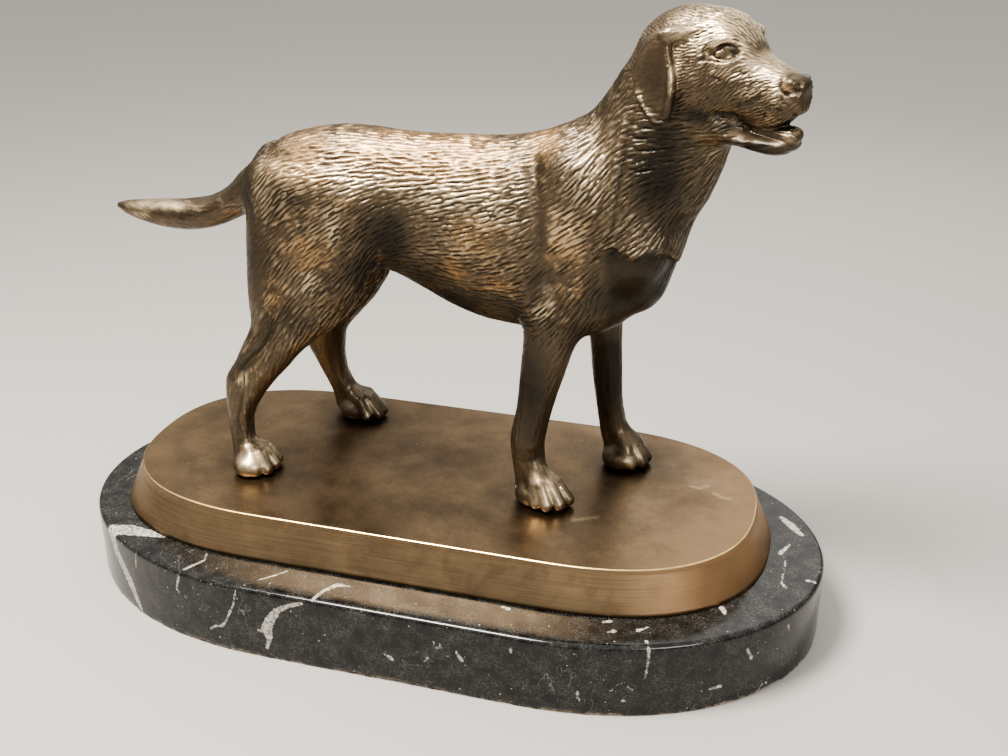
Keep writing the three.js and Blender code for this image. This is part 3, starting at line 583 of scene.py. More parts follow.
bodyForm = {
    # x, height of the back, height of the belly, half width
    "body": [
        (-60, 107.5, 80, 11.8), (-56, 109.9, 76, 14), (-48, 112.4, 72.5, 16.2), (-38, 114.3, 70.5, 17),
        (-28, 114.7, 69.5, 16.6), (-18, 114, 67.5, 16), (-8, 113.8, 63.2, 16.6), (2, 114.1, 58.6, 18),
        (12, 114.3, 55.6, 19.4), (22, 115.4, 54.4, 20.2), (32, 117.8, 53.4, 20), (42, 120, 53.3, 19),
        (50, 119.5, 54.8, 17.4), (57, 116, 58.6, 15), (62, 110, 66.5, 11.5),
    ],
    # way up the neck, shift, half depth, half width, bend
    "neck": [(4, 1.8, 23.4, 16.6, 0), (18, 3.4, 21.6, 15.8, -0.4), (29, 2.9, 20.1, 14, -1.2),
             (38, 1.6, 18.7, 12.8, -2.2), (46, 0.7, 17.3, 12, -3)],
    "neckFoot": (50, 0, 98), "neckLean": math.radians(59),
    # x, height of the middle, half height, half width
    "tail": [(-122, 80.9, 0.9, 0.9), (-118, 80.4, 2.3, 2.4), (-113, 80, 3.4, 3.6), (-105, 79.7, 4.6, 4.7),
             (-95, 80, 5.3, 5.4), (-85, 82, 5.5, 5.7), (-78, 85.4, 6.1, 6.1), (-72, 89.8, 7.6, 6.9),
             (-68, 91.4, 8.8, 7.6), (-62, 92.6, 9.8, 8.6)],
    # height, x of the middle, distance from the middle plane, half depth, half width
    "hindRight": [(4, -68, 24, 4, 4.6), (12, -69, 22.8, 3.9, 4.4), (18, -69.4, 21.8, 4.4, 4.5),
                  (25, -68.2, 20.7, 6.5, 4.9), (31, -65.9, 19.6, 8.6, 5.4), (36, -62.2, 18.6, 9.4, 6),
                  (42, -58.2, 17.2, 10.6, 6.8), (48, -53.4, 15.6, 12.8, 7.6), (54, -49.8, 14, 16.2, 8.4),
                  (66, -46.8, 11.2, 20.2, 9.2), (82, -45.5, 9.2, 20.5, 9.4), (98, -46, 8, 16, 8.6)],
    "hindLeft": [(4, -50.6, 24.4, 4.6, 4.6), (10, -51.6, 24, 4.7, 4.5), (17, -54.2, 23, 4.9, 4.5),
                 (24, -55.9, 22, 6.2, 4.7), (30, -56.8, 21, 7.8, 5.2), (36, -56.4, 19.8, 9.2, 5.8),
                 (44, -52.4, 17.8, 12, 6.8), (52, -48.6, 15.6, 15, 7.8), (62, -46.4, 12.8, 18.4, 8.8),
                 (82, -45.5, 9.2, 20, 9.4), (98, -46, 8, 16, 8.6)],
    "foreRight": [(4, 31.6, 16.6, 5.4, 5), (12, 30.6, 16.3, 5.3, 4.8), (20, 30, 16, 5.6, 5),
                  (32, 32.1, 15.4, 5.8, 5.1), (44, 34.3, 14.8, 7.1, 5.7), (52, 35.8, 14.3, 8, 6.3),
                  (60, 37.6, 13.8, 9.4, 7), (70, 40, 12.8, 11, 7.4)],
    "foreLeft": [(4, 53.6, 16.6, 4.9, 4.8), (10, 52.2, 16.4, 4.8, 4.6), (22, 50.1, 16, 4.5, 4.7),
                 (33, 49, 15.6, 5, 4.8), (46, 48.2, 15, 5.4, 5.4), (56, 46.6, 14.2, 7, 6.2),
                 (66, 44.6, 13, 9.6, 7)],
    # from, to, radius at each end, width of the fillet
    "muscles": [((48, 9, 66), (60, 5, 72), 9, 8.4, 5), ((60, 9.6, 84), (42, 9.4, 108), 9.6, 8, 6),
                ((36, 11.6, 66), (60, 9, 84), 8.6, 9, 6), ((-30, 9, 92), (-36, 12.4, 66), 9, 7.4, 7),
                ((-58, 7.4, 92), (-58, 12, 58), 8.6, 7, 6)],
    "chest": ((56.8, 0, 85.5), (16.9, 14.8, 21)),
    # Widths of the fillets where the forms meet.
    "fillets": {"chest": 6, "neck": 7, "tail": 5, "hindLeg": 5, "foreLeg": 4, "head": 5, "ear": 0.8,
                "paw": 1.6},
    "ledge": {"height": 81.6, "rise": 5.2, "depth": 1.4, "middleShare": 0.4, "from": 50, "low": 64},
    "furrow": {"points": [(30, 110), (35.5, 83), (38.5, 71)], "depth": 1.3, "width": 2.4},
}


def beam(way, up, side, rows):
    top, bottom, width = between(rows, way)
    return oval(up - (top + bottom) / 2, side, (top - bottom) / 2, width, pastRows(rows, way))


def leg(p, rows, side):
    x, out, depth, width = between(rows, p[:, 2])
    return oval(p[:, 0] - x, p[:, 1] - side * out, depth, width, pastRows(rows, p[:, 2]))


def bodyField(p):
    form, fillets = bodyForm, bodyForm["fillets"]
    x, y, z = p.T
    sided = np.stack([x, np.abs(y), z], 1)
    d = beam(x, z, y, form["body"])
    d = join(d, ellipsoid(p, *form["chest"]), fillets["chest"])
    for start, end, ra, rb, k in form["muscles"]:
        d = join(d, bar(sided, start, end, ra, rb), k)
    lean = form["neckLean"]
    dx, dz = x - form["neckFoot"][0], z - form["neckFoot"][2]
    way = dx * math.cos(lean) + dz * math.sin(lean)
    out = dx * math.sin(lean) - dz * math.cos(lean)
    shift, depth, width, bend = between(form["neck"], way)
    neck = oval(out - shift, y - bend, depth, width, pastRows(form["neck"], way))
    d = join(d, neck, fillets["neck"])
    tz, th, tw = between(form["tail"], x)
    d = join(d, oval(z - tz, y, th, tw, pastRows(form["tail"], x)), fillets["tail"])
    for end in ("hind", "fore"):
        for name, side in (("Right", -1), ("Left", 1)):
            d = join(d, leg(p, form[end + name], side), fillets[end + "Leg"])
    return d


def ledgeHeight(p):
    # The ragged edge where the coat ends over the smooth front of the chest.
    x, y, z = p.T
    ledge = bodyForm["ledge"]
    ragged = 1.5 * np.cos(0.483 * (x - 68.6)) + 0.4 * np.sin(y * 2.3 + x * 0.35) + 0.3 * np.sin(x * 1.7)
    return ledge["height"] + ledge["rise"] * np.abs(y) / 16 + ragged


def furrowDistance(p):
    flat = p * np.array([1, 0, 1])
    points = bodyForm["furrow"]["points"]
    runs = [bar(flat, (a[0], 0, a[1]), (b[0], 0, b[1]), 0, 0) for a, b in zip(points[:-1], points[1:])]
    return np.minimum(*runs)


def hollowDepth(p):
    # How much the surface drops under the ledge of the chest's coat, and in the furrow behind the shoulder.
    x, y, z = p.T
    ledge, furrow = bodyForm["ledge"], bodyForm["furrow"]
    edge = ledgeHeight(p)
    under = smoothStep(edge, edge - 1.2, z) * smoothStep(ledge["low"] - 14, ledge["low"] + 14, z)
    share = ledge["middleShare"] + (1 - ledge["middleShare"]) * smoothStep(1, 9, np.abs(y))
    drop = ledge["depth"] * share * under * smoothStep(ledge["from"] - 3, ledge["from"] + 5, x)
    fold = np.exp(-((furrowDistance(p) / furrow["width"]) ** 2)) * smoothStep(8, 14, np.abs(y))
    return drop + furrow["depth"] * fold


pawForm = {
    # In plan: where the leg comes down, with the instep's height; middle and half sizes of the pad; height
    # of the knuckles; tips of the toes.
    "paws": [
        ((-69, -23, 8), (-64, -27.4, 6.4, 7.2), 6,
         [(-61, -31.4), (-57.8, -29.2), (-57, -24.8), (-58, -20.6)]),
        ((-51.6, 24, 9), (-45.8, 22.4, 6.6, 6.8), 7,
         [(-40.4, 17.6), (-37.2, 20.2), (-36.8, 24.2), (-39.4, 27.6)]),
        ((30.6, -16.4, 11.5), (33.8, -19.6, 6.8, 6.4), 7,
         [(35.4, -25), (39, -25.8), (42.6, -23.8), (44.8, -20)]),
        ((52.4, 16.2, 11.5), (55.8, 12.6, 6.8, 7), 7, [(59.6, 8.8), (63, 11.8), (63.6, 15.8), (62.2, 19.4)]),
    ],
    "padHeight": 2.9, "padHalfHeight": 4.6, "toe": 2.3, "tipHeight": 2.2,
    "knuckleShare": 0.68, "instepShare": 0.2,
}


def pawField(p, instep, pad, knuckles, toes):
    # A pad, and four toes that run from the instep over a knuckle to the tip.
    form, toe = pawForm, pawForm["toe"]
    d = ellipsoid(p, (*pad[:2], form["padHeight"]), (*pad[2:], form["padHalfHeight"]))
    foot = np.array(instep[:2])
    for tip in np.array(toes):
        start = (*(foot + (tip - foot) * form["instepShare"]), instep[2])
        knuckle = (*(foot + (tip - foot) * form["knuckleShare"]), knuckles)
        d = join(d, bar(p, start, knuckle, toe, toe), 0.8)
        d = join(d, bar(p, knuckle, (*tip, form["tipHeight"]), toe, toe - 0.2), 0.5)
    return d


def toHead(p):
    # The head's own frame: forward, to the dog's left, up.
    yaw, roll = math.radians(dogSpec["headYaw"]), math.radians(dogSpec["headRoll"])
    d = p - np.array(dogSpec["headAt"])
    forward = d[:, 0] * math.cos(yaw) - d[:, 1] * math.sin(yaw)
    left = d[:, 0] * math.sin(yaw) + d[:, 1] * math.cos(yaw)
    up = d[:, 2] * math.cos(roll) - left * math.sin(roll)
    return np.stack([forward, left * math.cos(roll) + d[:, 2] * math.sin(roll), up], 1)


headForm = {
    # way forward, top, bottom, half width
    "muzzle": [(1, 3.8, -20.4, 9), (6, 2, -21.2, 8.4), (9, -0.9, -21.4, 7.8), (13, -2.9, -21.1, 7.2),
               (16, -4.1, -19.8, 6.7), (18.5, -5.1, -17.6, 5.8), (20, -6.2, -16, 4.4)],
    "jaw": [(-4, -16, -26.4, 8.8), (6, -21.6, -27.4, 6.8), (13, -22.4, -28.1, 5.6), (17.5, -22.4, -27.3, 4.6),
            (19.4, -22.6, -26, 3.2)],
    # middle, half sizes, blend
    "skull": ((-13.2, 0, -3), (17.6, 12.4, 12.4)),
    "lumps": [((-4.4, 0, 1), (8, 8.8, 7.4), 4), ((-8, 6.4, -9.6), (10.5, 6, 9.6), 5),
              ((-0.4, 6, 2.7), (3.4, 2.6, 2.2), 2)],
    "nose": ((19.7, 0, -8.2), (3, 3.8, 3.2)),
    "noseWing": ((19.1, 3.1, -7.2), (1.9, 1.7, 1.7)),
    "throat": ((-4, 0, -20), (9, 8, 7)),
    "tongueTip": ((18.6, 0, -22), (2.3, 2.9, 2.2)),
    "socket": ((0.4, 10.5, -0.5), (4.8, 2.4, 2.3)),
    "eyeball": ((-0.8, 7.3, -0.7), (2.2, 1.9, 1.8)),
    # The tongue: from, to, radius at each end, and how much its width is pressed.
    "tongue": ((8, 0, -21.4), (19, 0, -21.9), 2, 2.3), "tonguePress": 0.66,
    # Slits: from, to, radius, fillet.
    "slits": [((19.6, 5.0, -9.0), (21.6, 3.0, -8.6), 0.75, 0.4),
              ((20.6, 3.6, -8.4), (21.9, 2.4, -7.0), 0.55, 0.4),
              ((23.2, 0, -8.6), (22.9, 0, -14.6), 0.45, 0.5),
              ((3, 7.9, -21.4), (9, 6.6, -22.0), 0.6, 0.4), ((9, 6.6, -22.0), (14, 5.2, -21.6), 0.55, 0.4)],
    # height, way forward of the middle, half depth
    "ear": [(-21.2, -14.4, 1.2), (-19.4, -14.9, 3), (-15.3, -16.2, 5.8), (-11.4, -17.1, 6.9), (-7, -17.5, 7),
            (-3.2, -17.8, 5.8), (1.2, -17, 3.7), (4.2, -15.1, 2.6), (5.6, -13.8, 1.9)],
    "earThickness": 3.6, "earHollow": 0.7,
    "earRoot": ((-22, 11, -0.8), (-12, 10.6, 3.6), 2.6, 2.1),
    "earFold": ((-12, 10.6, 3.6), (-4.6, 6.8, 4.8), 2.1, 1.3),
}


def headField(p):
    q = toHead(p)
    f, left, u = q.T
    h = np.stack([f, np.abs(left), u], 1)
    form = headForm
    d = ellipsoid(h, *form["skull"])
    for centre, size, k in form["lumps"]:
        d = join(d, ellipsoid(h, centre, size), k)
    d = join(d, beam(f, u, left, form["muzzle"]), 4)
    d = join(d, ellipsoid(h, *form["nose"]), 0.8)
    d = join(d, ellipsoid(h, *form["noseWing"]), 0.5)
    jaw = join(beam(f, u, left, form["jaw"]), ellipsoid(h, *form["throat"]), 4)
    tongue = bar(np.stack([f, left * form["tonguePress"], u], 1), *form["tongue"])
    tongue = join(tongue, ellipsoid(h, *form["tongueTip"]), 0.6)
    d = join(d, join(jaw, tongue, 0.6), 0.8)
    d = cut(d, ellipsoid(h, *form["socket"]), 1)
    d = join(d, ellipsoid(h, *form["eyeball"]), 0.4)
    for start, end, radius, k in form["slits"]:
        d = cut(d, bar(h, start, end, radius, radius), k)
    return d


def earField(p):
    # A flap with a round rim, a little hollow on its outer side.
    f, left, u = toHead(p).T
    form = headForm
    rows = form["ear"]
    middle, depth = between(rows, u)
    past = pastRows(rows, u)
    rim = form["earThickness"] / 2
    off = np.abs(left) - (13.8 - 0.12 * u)
    inside = depth - np.abs(f - middle)
    across = np.maximum(rim - inside, 0)
    flap = np.sqrt(across ** 2 + np.maximum(past + rim, 0) ** 2 + off ** 2) - rim
    hollow = smoothStep(0.9, 2.8, inside) * smoothStep(-1.2, -4, past) * smoothStep(0.2, 1.2, off)
    flap = flap + form["earHollow"] * hollow * smoothStep(3, -1, u)
    sided = np.stack([f, np.abs(left), u], 1)
    return join(flap, join(bar(sided, *form["earRoot"]), bar(sided, *form["earFold"]), 1), 2.5)


def dogField(p):
    fillets = bodyForm["fillets"]
    d = bodyField(p) + hollowDepth(p)
    low = p[:, 2] < 20
    if low.any():
        feet = d[low]
        for paw in pawForm["paws"]:
            feet = join(feet, pawField(p[low], *paw), fillets["paw"])
        d[low] = feet
    high = (p[:, 0] > 40) & (p[:, 2] > 95)
    if high.any():
        head = join(d[high], headField(p[high]), fillets["head"])
        d[high] = join(head, earField(p[high]), fillets["ear"])
    return np.maximum(d, -p[:, 2])


def slopeOf(field, p, d, step=0.05):
    return np.stack([(field(p + step * axis) - d) / step for axis in np.eye(3)], 1)


def settle(field, p, rounds, most=0.8):
    # Moves points along the field's slope until they lie where it is zero.
    for _ in range(rounds):
        d = field(p)
        g = slopeOf(field, p, d)
        move = d / np.maximum((g * g).sum(1), 0.05)
        length = np.abs(move) * np.linalg.norm(g, axis=1)
        p = p - g * (move * np.minimum(1, most / np.maximum(length, 1e-9)))[:, None]
    return p


def applyModifiers(piece):
    bpy.context.view_layer.update()
    evaluated = piece.evaluated_get(bpy.context.evaluated_depsgraph_get())
    mesh = bpy.data.meshes.new_from_object(evaluated)
    old = piece.data
    piece.modifiers.clear()
    piece.data = mesh
    bpy.data.meshes.remove(old)


def pointsOf(mesh):
    co = np.empty(len(mesh.vertices) * 3, np.float32)
    mesh.vertices.foreach_get("co", co)
    return co.reshape(-1, 3).astype(float)


# Marks: lines drawn on the surface, listed by the frame of their points and the sides they are on.
# Each has how deep it is pressed (raised where below zero), its half width, and its points on the side towards
# the camera. The points of "through" lines are [x, z], and such a line is on both sides, whatever the width.
marks = {
    ("head", "both"): [
        # The eye: groove under the upper lid, running back from the outer corner; the inner corner; the lids.
        (0.85, 0.5, [(4.3, -7.5, -0.9), (4.6, -7.1, 0.1), (3.2, -8, 1.5), (1.9, -8.6, 1.8),
            (0.2, -9.1, 1.3), (-1.3, -9.8, 0.1), (-2.3, -10.7, -1), (-3.8, -11.5, -2.1),
            (-5.6, -12.2, -2.8)]),
        (0.9, 0.75, [(3.1, -8, -0.2), (3.8, -7.7, -0.6)]),
        (-0.4, 1, [(-0.7, -9.2, -0.6), (-0.5, -9.2, -0.7)]),
        (0.4, 0.32, [(4.3, -7.6, -1.4), (1.9, -8.9, -2.3), (0.4, -9.7, -2.3), (-1.3, -10.3, -1.7),
            (-2.6, -10.9, -1.3)]),
        (-0.5, 0.6, [(-2.7, -11.2, -2.5), (0.4, -10.2, -3.3), (2.7, -8.9, -3), (4.8, -7.7, -2.2)]),
        (-0.65, 0.8, [(-4.6, -11.4, -1.4), (-2.8, -10.7, 0), (-1.4, -9.7, 1.6), (0.2, -9.2, 3),
            (1.8, -8.6, 3.6), (3.3, -7.8, 3.7), (4.6, -6.6, 3), (5.2, -6.2, 1.4), (5.4, -6.4, 0)]),
        # The temple's rim, from the top of the ear forward, and the fold behind it.
        (-0.35, 0.7, [(0.5, -5.2, 6.9), (-3.5, -6.2, 7), (-7.5, -7.4, 6.4), (-10.7, -9.5, 6.1),
            (-11.6, -12.2, 5.6)]),
        (0.22, 0.9, [(-3, -7.4, 5.2), (-6.5, -9, 4.8), (-9.4, -11, 3.6), (-10.6, -12.4, 0.6)]),
        # Cheek and muzzle.
        (0.5, 0.7, [(-1.4, -11.2, -6.5), (0.1, -10.8, -6.9), (1.9, -10.1, -7.6)]),
        (0.35, 0.5, [(3.5, -8.6, -5.6), (5.6, -7.6, -5), (8, -6.8, -5.6)]),
        (0.55, 0.7, [(5.5, -5.8, -17.3), (2, -6.7, -18.3), (-1.7, -8.8, -17)]),
        (0.35, 0.6, [(4.5, -7, -21.3), (3, -7.4, -20.9), (0.6, -8.3, -19.6), (-1.6, -8.8, -18.2)]),
        (0.45, 0.8, [(13.5, -7.2, -10.4), (12, -7.4, -11), (8.3, -7.7, -12.9), (3.9, -7.2, -15.1)]),
        (-0.4, 0.6, [(22.2, -0.6, -14.2), (18.5, -4, -17.2), (15.1, -5, -19.7), (11, -5.6, -21.2),
            (5.6, -6.6, -21.3)]),
        (-0.45, 0.55, [(3.2, -7, -24.4), (7, -6.6, -24.5), (9.8, -6.2, -24)]),
        (0.5, 0.5, [(3, -6.9, -25.9), (7, -6.6, -26), (11.5, -5.6, -25.2), (15.5, -4.2, -24.6)]),
        # The crease round the wing of the nose, and the pits of the whiskers.
        (0.7, 0.4, [(17, -4.4, -5.7), (17, -5, -7.2), (17.8, -5, -8.6), (19.2, -4.8, -9.4),
            (20.4, -4.2, -9.6)]),
        (0.4, 0.4, [(17.4, -2.9, -5.3), (19.4, -2, -5), (20.8, -1.6, -5.6)]),
        (0.5, 0.42, [(9.4, -6.2, -20), (9.8, -6.2, -20.2)]),
        (0.5, 0.42, [(15, -5.8, -17.8), (15.5, -5.8, -17.9)]),
        (0.5, 0.42, [(13.1, -6.5, -15.8), (13.7, -6.5, -16)]),
        (0.5, 0.42, [(18.6, -5.6, -12), (19.1, -5.4, -12.1)]),
        (0.5, 0.42, [(17.1, -6.2, -13.7), (17.7, -6.1, -13.9)]),
        (0.45, 0.42, [(15.6, -6.6, -12.8), (16, -6.6, -12.9)]),
        (0.45, 0.42, [(11.6, -7, -17.8), (12, -7, -17.9)]),
        (-0.35, 0.45, [(16.3, -6.2, -15), (16.8, -6.1, -15.1)]),
        (-0.35, 0.45, [(14.2, -6.4, -14.5), (14.8, -6.4, -14.6)]),
        (-0.35, 0.45, [(17.3, -5.3, -16.2), (17.8, -5.1, -16.2)]),
        # The rim of the ear, down its front, then round the tip and up its back.
        (-0.36, 0.65, [(-12.8, -15.4, 4), (-13.2, -15.6, 0.7), (-11.9, -16, -3.4), (-10.9, -16.3, -8),
            (-10.7, -16.6, -12), (-11.1, -16.9, -16), (-13, -17.2, -20)]),
        (-0.28, 0.75, [(-13.6, -17.4, -20.6), (-16.6, -17.4, -19), (-21, -16.8, -15.2), (-23.6, -16.4, -11),
            (-24, -16, -7), (-23, -15.4, -3)]),
    ],
    ("dog", "through"): [
        # The parting down the side of the neck, and the wrinkles before it.
        (0.55, 0.9, [(60.5, 131), (59.5, 128.3), (57.6, 118), (57.1, 108.5), (56.2, 99), (55.6, 91)]),
        (-0.4, 1, [(57.6, 129), (55.6, 118), (55, 108.5), (54, 99)]),
        (0.45, 0.5, [(59.2, 124.5), (62.5, 123.6), (66, 123.8)]),
        (0.5, 0.55, [(58.6, 121.8), (61.5, 120.6), (64.6, 120.8)]),
        (0.5, 0.5, [(58.4, 118.6), (62, 117.4), (66.5, 117.8)]),
        (0.45, 0.55, [(58.2, 115.4), (61, 114.4), (64.8, 114.8)]),
        (0.4, 0.5, [(58, 112.4), (61.5, 111.4), (66, 112)]),
        (0.5, 0.7, [(-19.9, 73.8), (-25.5, 68), (-29.5, 61)]),
        (0.5, 1, [(-66.5, 96), (-62.5, 90), (-61, 82)]),
        (-0.4, 1.1, [(33.5, 61), (31, 63.5), (29.5, 66.5)]),
        (0.35, 1, [(36, 66), (40, 62.5), (46, 61)]),
    ],
    ("dog", "this"): [
        # The near hind leg: tendon, the groove before it, hock, the long bone's two grooves.
        (-0.75, 0.9, [(-68.4, -21.4, 39.3), (-63.3, -21.3, 46.1), (-60.6, -20.7, 52.3),
            (-57.3, -21, 58.8)]),
        (0.9, 0.8, [(-69.8, -23.7, 33.1), (-64.8, -23.4, 39.3), (-60, -23.5, 43.7), (-56.1, -22.6, 49.9),
            (-54.8, -21.9, 54.6)]),
        (-0.7, 0.8, [(-69.6, -24.3, 30.5), (-66.8, -24.4, 33), (-60.6, -24.2, 38.6), (-54.2, -23.5, 44.6)]),
        (0.5, 0.7, [(-66.2, -25.1, 29.2), (-67.1, -25.5, 24.7), (-68.7, -26.2, 18.4), (-67.6, -27, 12.4)]),
        (0.45, 0.7, [(-63.7, -24.6, 24.8), (-65.2, -24.2, 17.9), (-65, -24.7, 11.6)]),
        # The same on the far hind leg.
        (0.5, 0.8, [(-61.5, 24.5, 33), (-57.5, 24.6, 39.5), (-51.5, 24, 46)]),
        (0.45, 0.7, [(-57, 19, 26), (-55.5, 19.6, 19), (-52.5, 20, 12)]),
        # Wrist and elbow of the fore legs.
        (0.4, 0.7, [(26, -21, 15), (30.5, -22, 14.4), (35.4, -19, 15.4)]),
        (-0.35, 1.2, [(32.2, -20.5, 20.5), (32.4, -20.6, 18.6)]),
        (0.35, 0.8, [(30.5, -21.4, 44), (31.5, -21.6, 34), (29.8, -21.4, 25)]),
        (0.35, 0.7, [(48.5, 12, 46), (49, 11.6, 34), (50.5, 11.4, 22)]),
    ],
}


def pressMarks(p):
    # The sum of depth * exp(-(distance / half width)^2) over the marks, less towards both ends of each line.
    press = np.zeros(len(p))
    q = toHead(p)
    listed = [(*place, *mark) for place, some in marks.items() for mark in some]
    for where, sides, depth, width, line in listed:
        r = (q if where == "head" else p).copy()
        line = np.array(line, float)
        if sides == "through":
            line = np.insert(line, 1, 0, axis=1)
            r[:, 1] = 0
        elif sides == "both":
            r[:, 1] = -np.abs(r[:, 1])
        # Sideways distance counts less, because the line only roughly follows the surface.
        r[:, 1] *= 0.4
        line[:, 1] *= 0.4
        near = np.flatnonzero(((r > line.min(0) - 3 * width) & (r < line.max(0) + 3 * width)).all(1))
        r = r[near]
        step = np.linalg.norm(np.diff(line, axis=0), axis=1)
        run = np.concatenate([[0], np.cumsum(step)])
        far, way = np.full(len(r), 1e9), np.zeros(len(r))
        for k, (a, b) in enumerate(zip(line[:-1], line[1:])):
            t = np.clip((r - a) @ (b - a) / step[k] ** 2, 0, 1)
            d = np.linalg.norm(r - a - t[:, None] * (b - a), axis=1)
            closer = d < far
            far, way = np.where(closer, d, far), np.where(closer, run[k] + t * step[k], way)
        ends = np.minimum(way, run[-1] - way) / run[-1]
        taper = 1 if run[-1] < 1.5 else 0.3 + 0.7 * smoothStep(0, 0.2, ends)
        press[near] += depth * taper * np.exp(-((far / width) ** 2))
    return press


# Coat. Each stroke is a short groove pressed into the surface along the lie of the hair.
coatSpec = {
    "seed": 11,
    # Lie of the hair on the trunk: x, z, then the rise towards the head in degrees.
    "guides": [
        (-120, 80, -35), (-108, 80, -30), (-94, 81, -20), (-80, 86, 20), (-67, 99, 60), (-60, 92, 50),
        (-58, 70, 70), (-56, 50, 60), (-66, 30, 80), (-70, 14, 85), (-54, 80, 40), (-52, 70, 42),
        (-50, 62, 56), (-44, 107, 12), (-32, 113, 5), (-26, 104, 12), (-36, 101, 25), (-39, 82, 34),
        (-25, 94, 36), (-40, 70, 44), (-28, 78, 40), (-30, 62, 48), (-14, 107, 2), (-9, 96, 22),
        (-14, 84, 35), (-6, 111, 6), (6, 107, 10), (-3, 97, 16), (18, 105, 17), (12, 95, 14), (20, 89, 24),
        (24, 111, 22), (23, 82, 29), (4, 90, 12), (-4, 79, 4), (3, 72, -4), (16, 82, 16), (14, 66, -2),
        (26, 62, 5), (36, 119, 22), (40, 111, 44), (47, 102, 42), (46, 114, 50), (52, 118, 70),
        (55, 124, 75), (53, 108, 61), (55, 104, 65), (40, 96, 33), (44, 91, 34), (37, 84, 38), (44, 80, 38),
        (38, 72, 50), (38, 57, 60), (34, 45, 62), (32, 25, 85), (60, 99, 37), (67, 100, 41), (63, 107, 20),
        (69, 116, 8), (62, 118, 12), (60, 115, -3), (58, 124, -5), (73, 98, 45), (76, 105, 33),
        (62, 80, 40), (52, 70, 60), (50, 40, 85), (48, 15, 85),
    ],
    # Lie of the hair on the head: forward, up, rise in degrees.
    "headGuides": [
        (-24, 4, -30), (-14, 8, -6), (-10, 1, 15), (-9.5, 3, 20), (-8.6, -1.5, 13), (-4, 4, 40),
        (-1, 7, 12), (-6, -5, 28), (-2, -8, 39), (1.3, -5, 45), (-3, -12, 41), (-7, -9, 14),
        (-7, -13.5, 30), (-6, -20, 39), (-1, -18, 39), (6, -15, 30), (10, -10, 31), (13, -6, 24),
        (7.4, -5, 34), (17, -10, 27), (6, 0, 10), (-16, -14, 25), (-10, -22, 20), (2, -25, 15),
        (14, -25, 5),
    ],
    "guideReach": 8.0, "headReach": 3.5,
    # On the body, then on the head: length of a stroke, its half width and depth, and how far the middles of
    # two strokes keep apart, along as a share of the length, and across.
    "length": (6.8, 3.5), "halfWidth": (0.52, 0.36), "depth": (0.37, 0.25),
    "apartAlong": 0.8, "apart": (1.0, 0.68),
    # How many places are tried, how many of them at full length, and the cells of the two search grids.
    "tries": 110000, "fullLength": 50000, "sowCell": 7.0, "pressCell": 3.0,
    # The depths at which the colour of a stroke's groove, a pressed mark and a raised edge is full.
    "fullGroove": 0.32, "fullMark": 0.6, "fullLift": 0.12, "fullRidge": 0.4,
}


def lieOfHair(p, normal):
    # The hair's direction: guide angles averaged with weights exp(-(distance / reach)^2), laid on the
    # surface.
    def blended(u, v, guides, reach):
        guides = np.array(guides, float)
        far = (u[:, None] - guides[:, 0]) ** 2 + (v[:, None] - guides[:, 1]) ** 2
        far -= far.min(1, keepdims=True)
        weight = np.exp(-far / reach ** 2)
        turn = np.radians(guides[:, 2]) * 2
        return 0.5 * np.arctan2(weight @ np.sin(turn), weight @ np.cos(turn))

    trunk = blended(p[:, 0], p[:, 2], coatSpec["guides"], coatSpec["guideReach"])
    way = np.stack([np.cos(trunk), np.zeros(len(p)), np.sin(trunk)], 1)
    q = toHead(p)
    face = blended(q[:, 0], q[:, 2], coatSpec["headGuides"], coatSpec["headReach"])
    yaw = math.radians(dogSpec["headYaw"])
    forward = np.array([math.cos(yaw), -math.sin(yaw), 0])
    headWay = np.cos(face)[:, None] * forward + np.sin(face)[:, None] * np.array([0, 0, 1.0])
    onHead = headShare(p)[:, None]
    way = way * (1 - onHead) + headWay * onHead
    way -= normal * (way * normal).sum(1, keepdims=True)
    return way / np.maximum(np.linalg.norm(way, axis=1, keepdims=True), 1e-6)


def headShare(p):
    # 1 on the head, 0 on the neck and body.
    q = toHead(p)
    return smoothStep(-3, 3, q[:, 0] * 0.45 + q[:, 2] + 23) * (p[:, 0] > 45)


def breastShare(p):
    # 1 on the smooth breast under the ledge.
    x, z = p[:, 0], p[:, 2]
    return smoothStep(50, 56, x) * smoothStep(0.5, -0.8, z - ledgeHeight(p)) * smoothStep(46, 52, z)


